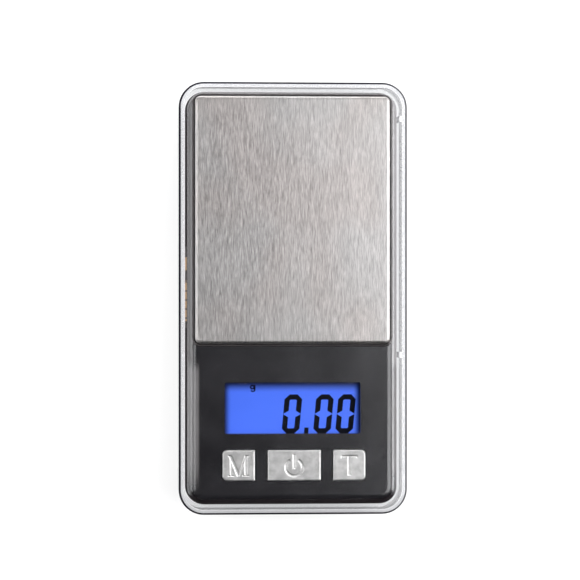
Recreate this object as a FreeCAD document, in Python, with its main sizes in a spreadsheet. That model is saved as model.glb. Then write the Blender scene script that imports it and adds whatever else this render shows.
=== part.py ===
import FreeCAD, Part
import Sketcher
import math
import os
import re

# Pocket digital gram scale with a clear lift-off dust cover.
# Frame: +Z up, origin under the middle of the scale on the surface it stands on,
# +Y towards the weighing platform, -Y towards the display and keys, +X to the right.
# All sizes are in millimetres and degrees.

Vector = FreeCAD.Vector
Rotation = FreeCAD.Rotation
Placement = FreeCAD.Placement

DRIVING = {
    # casing
    "case_width": 58.0,        # at the parting line, its widest place
    "case_length": 112.6,
    "case_corner": 5.2,
    "flank_draft": 6.0,        # upper shell, narrowing upwards from the parting line
    "base_draft": 4.5,         # base shell, narrowing downwards
    "base_z": 0.8,             # underside of the base shell, above the feet
    "parting_z": 8.5,
    "panel_z": 16.6,           # face of the control panel
    "rim_roll": 2.8,           # rolled edge round the top of the casing
    "base_edge": 0.9,
    "cavity_width": 54.4,
    "cavity_length": 109.0,
    "upper_cavity": 53.2,
    "upper_cavity_corner": 3.4,
    "display_cavity_y": -34.0,
    "display_cavity_length": 39.0,
    "floor_thick": 1.5,
    "panel_thick": 1.5,
    "panel_bevel": 0.55,       # along the edge that faces the platform
    "deck_z": 14.5,            # floor of the platform recess
    "deck_thick": 1.0,
    "lip_high": 0.9,           # locating lip between the shells
    "lip_thick": 0.6,
    "fit_gap": 0.1,
    # dust cover
    "cover_width": 62.0,
    "cover_length": 116.8,
    "cover_corner": 7.0,
    "cover_wall": 1.6,
    "cover_low_z": 3.0,
    "cover_top_z": 20.0,
    "cover_roof": 1.5,
    "cover_draft": 0.8,
    "cover_edge": 2.0,
    "rib_low_z": 12.2,
    "rib_face": 28.65,         # inner face of the grip ribs, from the middle plane
    "rib_long": 1.6,
    "rib_y_far": 48.5,
    "rib_y_near": -15.3,
    # weighing platform
    "plate_width": 52.8,
    "plate_length": 66.9,
    "plate_y": 21.15,
    "plate_z": 17.2,
    "plate_skirt": 1.3,
    "plate_thick": 0.5,
    "plate_edge": 0.9,
    "plate_corner": 1.6,
    "recess_gap": 0.25,
    "tape_thick": 0.35,
    "carrier_thick": 1.2,
    "carrier_gap": 0.3,
    "boss_width": 10.0,
    "boss_length": 10.4,
    "boss_y": 18.0,
    # load cell
    "beam_width": 10.0,
    "beam_length": 37.7,
    "beam_y": 8.85,
    "beam_low_z": 6.0,
    "beam_high": 5.0,
    "beam_bore": 4.0,
    "gauge_y_near": 4.2,
    "gauge_y_far": 9.6,
    "fixed_y_near": -7.5,
    "fixed_y_far": -2.5,
    "free_y_near": 15.5,
    "free_y_far": 20.5,
    "stop_y": 25.2,
    "stop_gap": 0.3,
    # battery bay
    "cell_diameter": 10.5,
    "cell_long": 43.5,         # can without its nub
    "nub_diameter": 3.8,
    "nub_long": 1.0,
    "cell_y_near": 36.0,
    "cell_y_far": 47.2,
    "cell_axis_z": 7.85,
    "contact_x": 23.5,         # inner faces of the contact plates
    "contact_thick": 0.3,
    "spring_radius": 3.2,
    "spring_pitch": 0.72,
    "spring_high": 1.75,
    "spring_cone": 28.0,
    "spring_wire": 0.5,
    "bay_wall": 1.2,
    "bay_y": 29.7,             # near end of the bay
    "door_half": 23.2,
    "tongue_half": 24.15,
    "door_end_y": 55.4,
    # display
    "window_width": 36.8,
    "window_length": 13.9,
    "window_y": -29.65,
    "lens_thick": 1.1,
    "board_z": 7.6,
    "board_thick": 1.2,
    "board_width": 52.0,
    "board_length": 37.4,
    "board_y": -34.7,
    "guide_thick": 2.4,        # light guide behind the glass
    "guide_width": 38.6,
    "guide_length": 17.6,
    "glass_thick": 1.1,
    "glass_width": 41.8,
    "glass_length_rear": 18.0,
    "glass_length_front": 19.8,
    "glass_y_rear": -29.4,
    "glass_y_front": -30.3,
    "zebra_y": -39.3,
    "frame_high": 4.7,
    # keys
    "key_y": -45.1,
    "key_length": 8.2,
    "key_side_width": 8.7,
    "key_middle_width": 14.3,
    "mode_x": -14.6,
    "power_x": 0.4,
    "tare_x": 15.3,
    "key_top_z": 17.0,
    "key_gap": 0.18,
    "key_corner": 1.25,        # outer corners of the row of keys
    "key_square": 0.3,
    "key_flange_z": 14.1,
    "key_flange": 0.55,        # how far the flange stands out under the panel
    "plunger_z": 13.1,
    # fasteners
    "case_screw_x": 24.0,
    "case_screw_y_near": -51.2,
    "case_screw_y_far": 26.0,
    "board_screw_x": 24.4,
    "board_screw_y_near": -43.0,
    "board_screw_y_far": -21.0,
    "foot_x": 25.9,
    "foot_y_near": -40.0,
    "foot_y_far": 44.0,
    "foot_width": 2.3,
    "foot_length": 12.9,
    "foot_gap": 0.1,
}

doc = FreeCAD.newDocument("gram_scale")


def make_sheet():
    """Puts every driving size in a named cell of the spreadsheet."""
    sheet = doc.addObject("Spreadsheet::Sheet", "Sizes")
    for row, (alias, value) in enumerate(DRIVING.items(), start=1):
        sheet.set(f"A{row}", str(value))
        sheet.setAlias(f"A{row}", alias)
    doc.recompute()
    return sheet


SHEET = make_sheet()


def sized(text):
    """Turns a formula of bare size names into one that points at the spreadsheet."""
    return re.sub(r"[a-z][a-z0-9_]*", lambda word: f"Sizes.{word[0]}" if word[0] in DRIVING else word[0],
                  str(text))


def value_of(text):
    """The number that a formula of size names has now."""
    return float(SHEET.evalExpression(sized(text)))


def bind(item, target, text):
    """Binds one property of an object to a formula of size names."""
    item.setExpression(target, sized(text))


# ---------------------------------------------------------------- sketches and features

def new_body(label):
    """Starts an empty body that may hold several separate lumps."""
    body = doc.addObject("PartDesign::Body", label)
    body.Label = label
    body.AllowCompound = True
    return body


def origin_plane(body, role):
    """The body's own base plane of one role, such as XY_Plane."""
    return next(plane for plane in body.Origin.OriginFeatures if plane.Role == role)


def new_sketch(body, name, height="0", role="XY_Plane"):
    """A sketch on one of the body's own planes, lifted along that plane's normal."""
    sketch = body.newObject("Sketcher::SketchObject", name)
    sketch.AttachmentSupport = [(origin_plane(body, role), "")]
    sketch.MapMode = "FlatFace"
    sketch.AttachmentOffset = Placement(Vector(0, 0, value_of(height)), Rotation())
    bind(sketch, "AttachmentOffset.Base.z", height)
    return sketch


def constrain(sketch, name, kind, first, first_point, second, second_point, text):
    """Adds one signed distance between two points and binds it."""
    value = value_of(text)
    index = sketch.addConstraint(
        Sketcher.Constraint(kind, first, first_point, second, second_point, value))
    sketch.renameConstraint(index, name)
    bind(sketch, f"Constraints.{name}", text)


def rectangle(sketch, width, length, across="0", along="0", corner=None):
    """Draws a rectangle about a centre, with round corners where corner is given."""
    tag = f"n{sketch.GeometryCount}"
    start = sketch.GeometryCount
    half_w = value_of(f"({width}) / 2")
    half_l = value_of(f"({length}) / 2")
    mid_x = value_of(across)
    mid_y = value_of(along)
    radius = value_of(corner) if corner else 0.0

    def at(x, y):
        """A point at x and y from the rectangle's centre."""
        return Vector(mid_x + x, mid_y + y, 0)

    low = Part.LineSegment(at(-half_w + radius, -half_l), at(half_w - radius, -half_l))
    right = Part.LineSegment(at(half_w, -half_l + radius), at(half_w, half_l - radius))
    high = Part.LineSegment(at(half_w - radius, half_l), at(-half_w + radius, half_l))
    left = Part.LineSegment(at(-half_w, half_l - radius), at(-half_w, -half_l + radius))
    sketch.addGeometry([low, right, high, left], False)
    if corner:
        centres = ((1, -1, -90), (1, 1, 0), (-1, 1, 90), (-1, -1, 180))
        for side_x, side_y, angle in centres:
            centre = at(side_x * (half_w - radius), side_y * (half_l - radius))
            circle = Part.Circle(centre, Vector(0, 0, 1), radius)
            arc = Part.ArcOfCircle(circle, math.radians(angle), math.radians(angle + 90))
            sketch.addGeometry(arc, False)
        for k in range(4):
            sketch.addConstraint(Sketcher.Constraint("Tangent", start + k, 2, start + 4 + k, 1))
            sketch.addConstraint(
                Sketcher.Constraint("Tangent", start + 4 + k, 2, start + (k + 1) % 4, 1))
        for k in (5, 6, 7):
            sketch.addConstraint(Sketcher.Constraint("Equal", start + 4, start + k))
        index = sketch.addConstraint(Sketcher.Constraint("Radius", start + 4, radius))
        sketch.renameConstraint(index, f"{tag}_corner")
        bind(sketch, f"Constraints.{tag}_corner", corner)
    else:
        for k in range(4):
            sketch.addConstraint(
                Sketcher.Constraint("Coincident", start + k, 2, start + (k + 1) % 4, 1))
    for k, kind in enumerate(("Horizontal", "Vertical", "Horizontal", "Vertical")):
        sketch.addConstraint(Sketcher.Constraint(kind, start + k))
    constrain(sketch, f"{tag}_width", "DistanceX", start + 3, 1, start + 1, 1, width)
    constrain(sketch, f"{tag}_length", "DistanceY", start, 1, start + 2, 1, length)
    constrain(sketch, f"{tag}_right", "DistanceX", -1, 1, start + 1, 1, f"({across}) + ({width}) / 2")
    constrain(sketch, f"{tag}_top", "DistanceY", -1, 1, start + 2, 1, f"({along}) + ({length}) / 2")


def disc(sketch, diameter, across, along):
    """Draws a circle by its diameter and centre."""
    k = sketch.GeometryCount
    centre = Vector(value_of(across), value_of(along), 0)
    radius = value_of(f"({diameter}) / 2")
    sketch.addGeometry(Part.Circle(centre, Vector(0, 0, 1), radius), False)
    index = sketch.addConstraint(Sketcher.Constraint("Diameter", k, 2 * radius))
    sketch.renameConstraint(index, f"n{k}_size")
    bind(sketch, f"Constraints.n{k}_size", diameter)
    constrain(sketch, f"n{k}_x", "DistanceX", -1, 1, k, 3, across)
    constrain(sketch, f"n{k}_y", "DistanceY", -1, 1, k, 3, along)


def polygon(sketch, corners):
    """Draws a closed outline through corners, each a pair of formulas."""
    spots = [Vector(value_of(a), value_of(b), 0) for a, b in corners]
    count = len(spots)
    for k in range(count):
        sketch.addGeometry(Part.LineSegment(spots[k], spots[(k + 1) % count]), False)
    for k in range(count):
        sketch.addConstraint(Sketcher.Constraint("Coincident", k, 2, (k + 1) % count, 1))
    for k, (a, b) in enumerate(corners):
        constrain(sketch, f"p{k}_x", "DistanceX", -1, 1, k, 1, a)
        constrain(sketch, f"p{k}_y", "DistanceY", -1, 1, k, 1, b)


def pad(body, name, sketch, height, taper=None, down=False):
    """Raises a sketch into a solid, or sinks it where down is set."""
    feature = body.newObject("PartDesign::Pad", name)
    feature.Profile = sketch
    feature.Reversed = down
    bind(feature, "Length", height)
    if taper:
        bind(feature, "TaperAngle", taper)
    doc.recompute()
    return feature


def pocket(body, name, sketch, depth, up=False):
    """Cuts a sketch down into the body, or up where up is set, and checks that it cut."""
    before = body.Shape.Volume
    feature = body.newObject("PartDesign::Pocket", name)
    feature.Profile = sketch
    feature.Reversed = up
    bind(feature, "Length", depth)
    doc.recompute()
    if body.Shape.Volume > before - 1e-3:
        raise ValueError(f"{body.Label}: {name} cuts nothing")
    return feature


def slab(body, name, low, height, width, length, across="0", along="0", corner=None, taper=None):
    """Pads one rectangle from the height low."""
    sketch = new_sketch(body, f"{name}_outline", low)
    rectangle(sketch, width, length, across, along, corner)
    return pad(body, name, sketch, height, taper)


def cut(body, name, low, height, width, length, across="0", along="0", corner=None):
    """Pockets one rectangle from the height low upwards."""
    sketch = new_sketch(body, f"{name}_outline", low)
    rectangle(sketch, width, length, across, along, corner)
    return pocket(body, name, sketch, height, up=True)


def studs(body, name, low, height, diameter, places):
    """Pads a round stud at each place."""
    sketch = new_sketch(body, f"{name}_circles", low)
    for across, along in places:
        disc(sketch, diameter, across, along)
    return pad(body, name, sketch, height)


def bores(body, name, low, depth, diameter, places):
    """Bores a round hole at each place, from the height low upwards."""
    sketch = new_sketch(body, f"{name}_circles", low)
    for across, along in places:
        disc(sketch, diameter, across, along)
    return pocket(body, name, sketch, depth, up=True)


def round_edges(body, name, radius, wanted):
    """Fillets the edges of the body's last feature that wanted() picks."""
    base = body.Tip
    names = [f"Edge{k}" for k, edge in enumerate(base.Shape.Edges, start=1) if wanted(edge)]
    feature = body.newObject("PartDesign::Fillet", name)
    feature.Base = (base, names)
    bind(feature, "Radius", radius)
    doc.recompute()
    return feature


def bevel_edges(body, name, size, wanted):
    """Chamfers the edges of the body's last feature that wanted() picks."""
    base = body.Tip
    names = [f"Edge{k}" for k, edge in enumerate(base.Shape.Edges, start=1) if wanted(edge)]
    feature = body.newObject("PartDesign::Chamfer", name)
    feature.Base = (base, names)
    bind(feature, "Size", size)
    doc.recompute()
    return feature


def lies_at(height):
    """Picks edges that lie wholly at one height."""
    level = value_of(height)

    def wanted(edge):
        """True for an edge that lies flat at that height."""
        box = edge.BoundBox
        return abs(box.ZMin - level) < 1e-4 and abs(box.ZMax - level) < 1e-4
    return wanted


def four(across, near, far):
    """The four places left and right of the middle plane, near and far."""
    return [(f"-({across})", near), (across, near), (f"-({across})", far), (across, far)]


CASE_SCREWS = four("case_screw_x", "case_screw_y_near", "case_screw_y_far")
BOARD_SCREWS = four("board_screw_x", "board_screw_y_near", "board_screw_y_far")
FEET = four("foot_x", "foot_y_near", "foot_y_far")
KEYS = {
    "mode": ("mode_x", "key_side_width", ("1",)),
    "power": ("power_x", "key_middle_width", ("1", "-1")),
    "tare": ("tare_x", "key_side_width", ("-1",)),
}


def key_rectangles(name, grow):
    """The overlapping rectangles of one key's outline, grown all round by grow.

    The first has the large outer corners; each square side gets one with small corners.
    """
    across, width, square_sides = KEYS[name]
    whole = (f"{width} + 2 * ({grow})", across, f"key_corner + ({grow})")
    halves = [(f"{width} / 2 + 2 * ({grow})", f"{across} + {side} * {width} / 4", f"key_square + ({grow})")
              for side in square_sides]
    return [whole, *halves]


# ---------------------------------------------------------------- dust cover

def make_dust_cover():
    """Clear box that lifts off upwards; four inner ribs grip the casing's flanks."""
    body = new_body("dust_cover")
    slab(body, "Shell", "cover_low_z", "cover_top_z - cover_low_z", "cover_width", "cover_length",
         corner="cover_corner", taper="-cover_draft")
    round_edges(body, "TopEdge", "cover_edge", lies_at("cover_top_z"))
    cut(body, "Inside", "cover_low_z", "cover_top_z - cover_roof - cover_low_z",
        "cover_width - 2 * cover_wall", "cover_length - 2 * cover_wall",
        corner="cover_corner - cover_wall")
    ribs = new_sketch(body, "Rib_outlines", "rib_low_z")
    for side in ("", "-"):
        for along in ("rib_y_far", "rib_y_near"):
            rectangle(ribs, "cover_width / 2 - cover_wall + 0.4 - rib_face", "rib_long",
                      f"{side}(cover_width / 2 - cover_wall + 0.4 + rib_face) / 2", along)
    pad(body, "Ribs", ribs, "cover_top_z - cover_roof + 0.2 - rib_low_z")
    return body


# ---------------------------------------------------------------- casing

def make_upper_casing():
    """Black upper shell: rolled rim, platform recess, window, key holes and screw posts."""
    body = new_body("upper_casing")
    slab(body, "Shell", "parting_z", "panel_z - parting_z", "case_width", "case_length",
         corner="case_corner", taper="-flank_draft")
    round_edges(body, "Rim", "rim_roll", lies_at("panel_z"))
    cut(body, "Cavity", "parting_z", "deck_z - deck_thick - parting_z",
        "upper_cavity", "cavity_length - 0.6", corner="upper_cavity_corner")
    cut(body, "DisplayCavity", "deck_z - deck_thick", "panel_z - panel_thick - deck_z + deck_thick",
        "upper_cavity - 1.2", "display_cavity_length", along="display_cavity_y",
        corner="upper_cavity_corner - 1")
    cut(body, "PlatformRecess", "deck_z", "panel_z - deck_z + 1",
        "plate_width + 2 * recess_gap", "plate_length + 2 * recess_gap", along="plate_y",
        corner="plate_corner + recess_gap")
    edge_y = value_of("plate_y - plate_length / 2 - recess_gap")

    def faces_platform(edge):
        """True for the panel's long edge beside the platform recess."""
        box = edge.BoundBox
        return box.XLength > 30 and abs(box.YMin - edge_y) < 1e-3 and lies_at("panel_z")(edge)
    bevel_edges(body, "PanelBevel", "panel_bevel", faces_platform)
    cut(body, "BossHole", "parting_z", "deck_z - parting_z + 1",
        "boss_width + 2.4", "boss_length + 2.4", along="boss_y", corner="1.2")
    cut(body, "Window", "parting_z", "panel_z - parting_z + 1",
        "window_width", "window_length", along="window_y", corner="0.6")
    for name in KEYS:
        for k, (width, across, corner) in enumerate(key_rectangles(name, "key_gap")):
            cut(body, f"{name.title()}Hole{k}", "parting_z", "panel_z - parting_z + 1",
                width, "key_length + 2 * key_gap", across, "key_y", corner)
    studs(body, "CasePostsFar", "parting_z", "deck_z - deck_thick - parting_z + 0.2", "4.6",
          CASE_SCREWS[2:])
    studs(body, "CasePostsNear", "parting_z", "panel_z - panel_thick - parting_z + 0.2", "4.6",
          CASE_SCREWS[:2])
    studs(body, "BoardPosts", "board_z + board_thick",
          "panel_z - panel_thick - board_z - board_thick + 0.2", "3.6", BOARD_SCREWS)
    bores(body, "CasePilots", "parting_z - 1", "4.9", "2.0", CASE_SCREWS)
    bores(body, "BoardPilots", "board_z + board_thick - 0.5", "3.7", "1.7", BOARD_SCREWS)
    rebate = new_sketch(body, "Rebate_outline", "parting_z")
    rectangle(rebate, "cavity_width + 0.1", "cavity_length + 0.1", corner="4.1")
    rectangle(rebate, "upper_cavity - 0.2", "cavity_length - 0.8", corner="3.3")
    pocket(body, "LipRebate", rebate, "lip_high + fit_gap", up=True)
    return body


def make_base_shell():
    """Black lower shell: battery bay, load-cell pillar, stop boss, screw bosses, foot recesses."""
    body = new_body("base_shell")
    outline = new_sketch(body, "Shell_outline", "parting_z")
    rectangle(outline, "case_width", "case_length", corner="case_corner")
    pad(body, "Shell", outline, "parting_z - base_z", "-base_draft", down=True)
    round_edges(body, "LowEdge", "base_edge", lies_at("base_z"))
    cut(body, "Cavity", "base_z + floor_thick", "parting_z", "cavity_width", "cavity_length",
        corner="4.0")
    lip = new_sketch(body, "Lip_outline", "parting_z - 1.2")
    rectangle(lip, "cavity_width + 0.02", "cavity_length + 0.02", corner="4.01")
    rectangle(lip, "cavity_width - 2 * lip_thick + 0.1", "cavity_length - 2 * lip_thick + 0.1",
              corner="3.45")
    pad(body, "Lip", lip, "lip_high + 1.2")
    bay_deep = "parting_z - base_z - floor_thick"
    slab(body, "BayCrossWall", "base_z + floor_thick - 0.2", f"{bay_deep} + 0.2",
         "2 * contact_x + 2 * contact_thick + 2 * bay_wall + 0.2", "bay_wall",
         along="bay_y - bay_wall / 2")
    sides = new_sketch(body, "BaySide_outlines", "base_z + floor_thick - 0.2")
    for side in ("", "-"):
        rectangle(sides, "bay_wall", "cavity_length / 2 - bay_y + 0.4",
                  f"{side}(contact_x + contact_thick + 0.1 + bay_wall / 2)",
                  "(cavity_length / 2 + bay_y) / 2")
    pad(body, "BaySides", sides, f"{bay_deep} + 0.2")
    slab(body, "CellPillar", "base_z + floor_thick - 0.2", "beam_low_z - base_z - floor_thick + 0.2",
         "beam_width + 1.2", "10.6", along="(fixed_y_near + fixed_y_far) / 2 + 0.1", corner="0.8")
    studs(body, "StopBoss", "base_z + floor_thick - 0.2", "2.1", "4.8", [("0", "stop_y")])
    studs(body, "CaseBosses", "base_z + floor_thick - 0.2", "parting_z - base_z - floor_thick + 0.2",
          "6.0", CASE_SCREWS)
    bores(body, "CaseHeads", "base_z - 1", "5.2", "4.2", CASE_SCREWS)
    bores(body, "CaseClearance", "base_z", "parting_z", "2.2", CASE_SCREWS)
    bores(body, "CellPilots", "base_z + 2.0", "parting_z", "2.0",
          [("0", "fixed_y_near"), ("0", "fixed_y_far")])
    bores(body, "StopThread", "base_z - 1", "parting_z", "2.6", [("0", "stop_y")])
    cut(body, "DoorOpening", "base_z - 1", "floor_thick + 1", "2 * door_half + 0.4",
        "case_length / 2 - bay_y + 4", along="(case_length / 2 + bay_y + 4) / 2")
    cut(body, "DoorGrooves", "base_z + 0.6", "floor_thick - 0.6", "2 * tongue_half + 0.3",
        "case_length / 2 - bay_y + 4", along="(case_length / 2 + bay_y + 4) / 2")
    feet = new_sketch(body, "Foot_outlines", "base_z - 1")
    for across, along in FEET:
        rectangle(feet, "foot_width + 2 * foot_gap", "foot_length + 2 * foot_gap", across, along,
                  corner="1.0")
    pocket(body, "FootRecesses", feet, "1.4", up=True)
    return body


def make_battery_door():
    """Sliding door under the cells, with side tongues and a ridged thumb patch."""
    body = new_body("battery_door")
    middle = "(door_end_y + bay_y + 0.2) / 2"
    long = "door_end_y - bay_y - 0.2"
    slab(body, "Plate", "base_z", "floor_thick - 0.1", "2 * door_half", long, along=middle)
    outer = value_of("door_end_y")
    low = value_of("base_z")

    def rear_low(edge):
        """True for the lower edge of the door's outer end."""
        box = edge.BoundBox
        return abs(box.YMin - outer) < 1e-4 and abs(box.YMax - outer) < 1e-4 and box.ZMax < low + 1e-4
    round_edges(body, "RearEdge", "base_edge", rear_low)
    slab(body, "Tongues", "base_z + 0.75", "floor_thick - 0.85", "2 * tongue_half",
         f"{long} - 1.6", along=f"{middle} - 0.8")
    grip = new_sketch(body, "Grip_outlines", "base_z - 1")
    for ridge in range(5):
        rectangle(grip, "16.0", "0.8", "0", f"door_end_y - 5.0 - {1.7 * ridge:.1f}", corner="0.3")
    pocket(body, "Grip", grip, "1.35", up=True)
    return body


# ---------------------------------------------------------------- weighing platform

def make_platform_plate():
    """Brushed steel tray with turned-down edges."""
    body = new_body("platform_plate")
    slab(body, "Sheet", "plate_z - plate_skirt", "plate_skirt", "plate_width", "plate_length",
         along="plate_y", corner="plate_corner")
    round_edges(body, "TurnedEdge", "plate_edge", lies_at("plate_z"))
    cut(body, "Hollow", "plate_z - plate_skirt", "plate_skirt - plate_thick",
        "plate_width - 2 * plate_thick", "plate_length - 2 * plate_thick", along="plate_y",
        corner="plate_corner - plate_thick")
    return body


def make_platform_carrier():
    """Plastic tray under the plate, with the boss that bolts to the load cell."""
    body = new_body("platform_carrier")
    top = "plate_z - plate_thick - tape_thick"
    slab(body, "Tray", f"{top} - carrier_thick", "carrier_thick",
         "plate_width - 2 * plate_thick - 2 * carrier_gap",
         "plate_length - 2 * plate_thick - 2 * carrier_gap", along="plate_y", corner="0.9")
    slab(body, "Boss", "beam_low_z + beam_high", f"{top} - carrier_thick + 0.2 - beam_low_z - beam_high",
         "boss_width", "boss_length", along="boss_y", corner="0.8")
    bores(body, "Pilots", "beam_low_z + beam_high - 0.5", "4.4", "2.0",
          [("0", "free_y_near"), ("0", "free_y_far")])
    return body


def make_plate_tape():
    """Two strips of foam tape that hold the steel plate on its tray."""
    body = new_body("plate_tape")
    strips = new_sketch(body, "Strip_outlines", "plate_z - plate_thick - tape_thick")
    for across in ("-15.0", "15.0"):
        rectangle(strips, "12.0", "56.0", across, "plate_y")
    pad(body, "Strips", strips, "tape_thick")
    return body


# ---------------------------------------------------------------- load cell

def make_load_cell_beam():
    """Aluminium bending beam, waisted by two cross bores joined by a slot."""
    body = new_body("load_cell_beam")
    slab(body, "Bar", "beam_low_z", "beam_high", "beam_width", "beam_length", along="beam_y")
    waist = new_sketch(body, "Waist_outline", "-beam_width", "YZ_Plane")
    for along in ("gauge_y_near", "gauge_y_far"):
        disc(waist, "beam_bore", along, "beam_low_z + beam_high / 2")
    pocket(body, "WaistBores", waist, "2 * beam_width", up=True)
    slot = new_sketch(body, "Slot_outline", "-beam_width", "YZ_Plane")
    rectangle(slot, "gauge_y_far - gauge_y_near", "1.6", "(gauge_y_far + gauge_y_near) / 2",
              "beam_low_z + beam_high / 2")
    pocket(body, "WaistSlot", slot, "2 * beam_width", up=True)
    bores(body, "ScrewHoles", "beam_low_z - 1", "beam_high + 2", "2.2",
          [("0", name) for name in ("fixed_y_near", "fixed_y_far", "free_y_near", "free_y_far")])
    return body


def make_strain_gauges():
    """Four foil gauges, two above and two below the waist."""
    body = new_body("strain_gauges")
    for name, low in (("Upper", "beam_low_z + beam_high"), ("Lower", "beam_low_z - 0.15")):
        patches = new_sketch(body, f"{name}_outlines", low)
        for along in ("gauge_y_near", "gauge_y_far"):
            rectangle(patches, "6.0", "3.6", "0", along)
        pad(body, name, patches, "0.15")
    return body


def make_stop_screw():
    """Grub screw that catches the beam's free end when the scale is overloaded."""
    body = new_body("overload_stop_screw")
    studs(body, "Shank", "base_z + 0.4", "beam_low_z - stop_gap - base_z - 0.4", "2.5",
          [("0", "stop_y")])
    hexagon = new_sketch(body, "Socket_outline", "base_z")
    reach = 0.72
    corners = [(f"{reach * math.cos(math.radians(60 * k)):.3f}",
                f"stop_y + {reach * math.sin(math.radians(60 * k)):.3f}") for k in range(6)]
    polygon(hexagon, corners)
    pocket(body, "Socket", hexagon, "1.6", up=True)
    return body


# ---------------------------------------------------------------- screws

def make_screw(label, head, head_high, shank, long):
    """Cross-head screw standing head down, its bearing face at its own origin."""
    body = new_body(label)
    outline = new_sketch(body, "Profile", "0", "XZ_Plane")
    polygon(outline, [
        ("0", f"-{head_high}"), (f"{head} * 0.32", f"-{head_high}"),
        (f"{head} / 2", f"-{head_high} * 0.55"),
        (f"{head} / 2", "0"), (f"{shank} / 2", "0"), (f"{shank} / 2", f"{long} - 0.8"),
        (f"{shank} * 0.2", long), ("0", long)])
    turned = body.newObject("PartDesign::Revolution", "Turned")
    turned.Profile = outline
    turned.ReferenceAxis = (outline, ["V_Axis"])
    turned.Angle = 360
    doc.recompute()
    recess = new_sketch(body, "Recess_outline", f"-{head_high} - 0.1")
    rectangle(recess, f"{head} * 0.52", f"{head} * 0.14")
    pocket(body, "RecessSlot", recess, f"{head_high} * 0.6", up=True)
    across = new_sketch(body, "Recess_across", f"-{head_high} - 0.1")
    rectangle(across, f"{head} * 0.14", f"{head} * 0.52")
    pocket(body, "RecessCross", across, f"{head_high} * 0.6", up=True)
    return body


def make_group(label, master, places, height, head_up=False):
    """Places linked copies of a master body and joins them in one compound."""
    links = []
    for k, (across, along) in enumerate(places):
        link = doc.addObject("App::Link", f"{label}_{k + 1}")
        link.LinkedObject = master
        turn = Rotation(Vector(1, 0, 0), 180 if head_up else 0)
        link.Placement = Placement(Vector(0, 0, 0), turn)
        bind(link, "Placement.Base.x", across)
        bind(link, "Placement.Base.y", along)
        bind(link, "Placement.Base.z", height)
        links.append(link)
    group = doc.addObject("Part::Compound", label)
    group.Label = label
    group.Links = links
    return group


# ---------------------------------------------------------------- batteries and contacts

def make_battery(label, along, toward):
    """AAA cell lying along X; its nub points to +X where toward is 1 and to -X where it is -1."""
    body = new_body(label)
    sign = "" if toward > 0 else "-"
    nub_end = "contact_x - 0.05"
    outline = new_sketch(body, "Can_outline", f"{sign}({nub_end} - nub_long)", "YZ_Plane")
    disc(outline, "cell_diameter", along, "cell_axis_z")
    pad(body, "Can", outline, "cell_long", down=toward > 0)
    round_edges(body, "CanEdges", "0.5", lambda edge: edge.Curve.TypeId == "Part::GeomCircle")
    nub = new_sketch(body, "Nub_outline", f"{sign}({nub_end} - nub_long)", "YZ_Plane")
    disc(nub, "nub_diameter", along, "cell_axis_z")
    pad(body, "Nub", nub, "nub_long", down=toward < 0)
    return body


def make_contact(label, side, near, far):
    """Sprung-steel plate standing against the bay's side wall, with a folded solder tab on top."""
    body = new_body(label)
    sign = "" if side > 0 else "-"
    slab(body, "Plate", "base_z + floor_thick + 0.2", "10.0", "contact_thick",
         f"({far}) - ({near})", f"{sign}(contact_x + contact_thick / 2)", f"(({far}) + ({near})) / 2")
    slab(body, "Tab", "base_z + floor_thick + 9.9", "contact_thick", "1.9 + contact_thick", "2.4",
         f"{sign}(contact_x + 0.95 + contact_thick / 2)", f"({near}) + 1.2")
    return body


def make_springs():
    """Conical contact springs, one pressed against the flat end of each cell."""
    radius = value_of("spring_radius")
    path = Part.makeLongHelix(value_of("spring_pitch"), value_of("spring_high"), radius,
                              -value_of("spring_cone"))
    ring = Part.Wire(Part.Circle(Vector(radius, 0, 0), Vector(0, 1, 0.04),
                                 value_of("spring_wire") / 2).toShape())
    coil = Part.Wire(path.Edges).makePipeShell([ring], True, True)
    coils = []
    for side, along in ((-1, "cell_y_far"), (1, "cell_y_near")):
        place = Vector(side * value_of("contact_x - spring_wire / 2 - 0.03"), value_of(along),
                       value_of("cell_axis_z"))
        turned = coil.copy()
        turned.Placement = Placement(place, Rotation(Vector(0, 1, 0), -90 * side))
        coils.append(turned)
    springs = doc.addObject("Part::Feature", "contact_springs")
    springs.Label = "contact_springs"
    springs.Shape = Part.makeCompound(coils)
    springs.Placement = Placement()
    return springs


# ---------------------------------------------------------------- display and electronics

def make_main_board():
    """Circuit board that hangs from four posts, cut away round the near screw posts."""
    body = new_body("main_board")
    slab(body, "Board", "board_z", "board_thick", "board_width", "board_length", along="board_y",
         corner="1.0")
    notches = new_sketch(body, "Notch_outlines", "board_z - 1")
    for side in ("", "-"):
        rectangle(notches, "8.0", "8.0", f"{side}board_screw_x", "case_screw_y_near - 0.4", corner="1.0")
    pocket(body, "Notches", notches, "board_thick + 2", up=True)
    bores(body, "ScrewHoles", "board_z - 1", "board_thick + 2", "2.0", BOARD_SCREWS)
    return body


def make_backlight():
    """Light guide that lies on the board behind the liquid-crystal panel."""
    body = new_body("backlight")
    slab(body, "Guide", "board_z + board_thick", "guide_thick", "guide_width", "guide_length",
         along="glass_y_rear", corner="0.4")
    return body


def make_backlight_led():
    """Light-emitting diode that shines into the right end of the light guide."""
    body = new_body("backlight_led")
    slab(body, "Package", "board_z + board_thick", "1.8", "1.3", "3.0", "20.2", "window_y")
    return body


def make_lcd_panel():
    """Two bonded glasses; the front one overhangs at its lower edge to meet the zebra strip."""
    body = new_body("lcd_panel")
    low = "board_z + board_thick + guide_thick"
    slab(body, "RearGlass", low, "glass_thick", "glass_width", "glass_length_rear", along="glass_y_rear")
    slab(body, "FrontGlass", f"{low} + glass_thick", "glass_thick", "glass_width", "glass_length_front",
         along="glass_y_front")
    return body


def make_zebra_strip():
    """Striped rubber that joins the board's pads to the overhanging front glass."""
    body = new_body("zebra_strip")
    slab(body, "Strip", "board_z + board_thick", "guide_thick + glass_thick", "40.0", "1.3",
         along="zebra_y")
    return body


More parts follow.
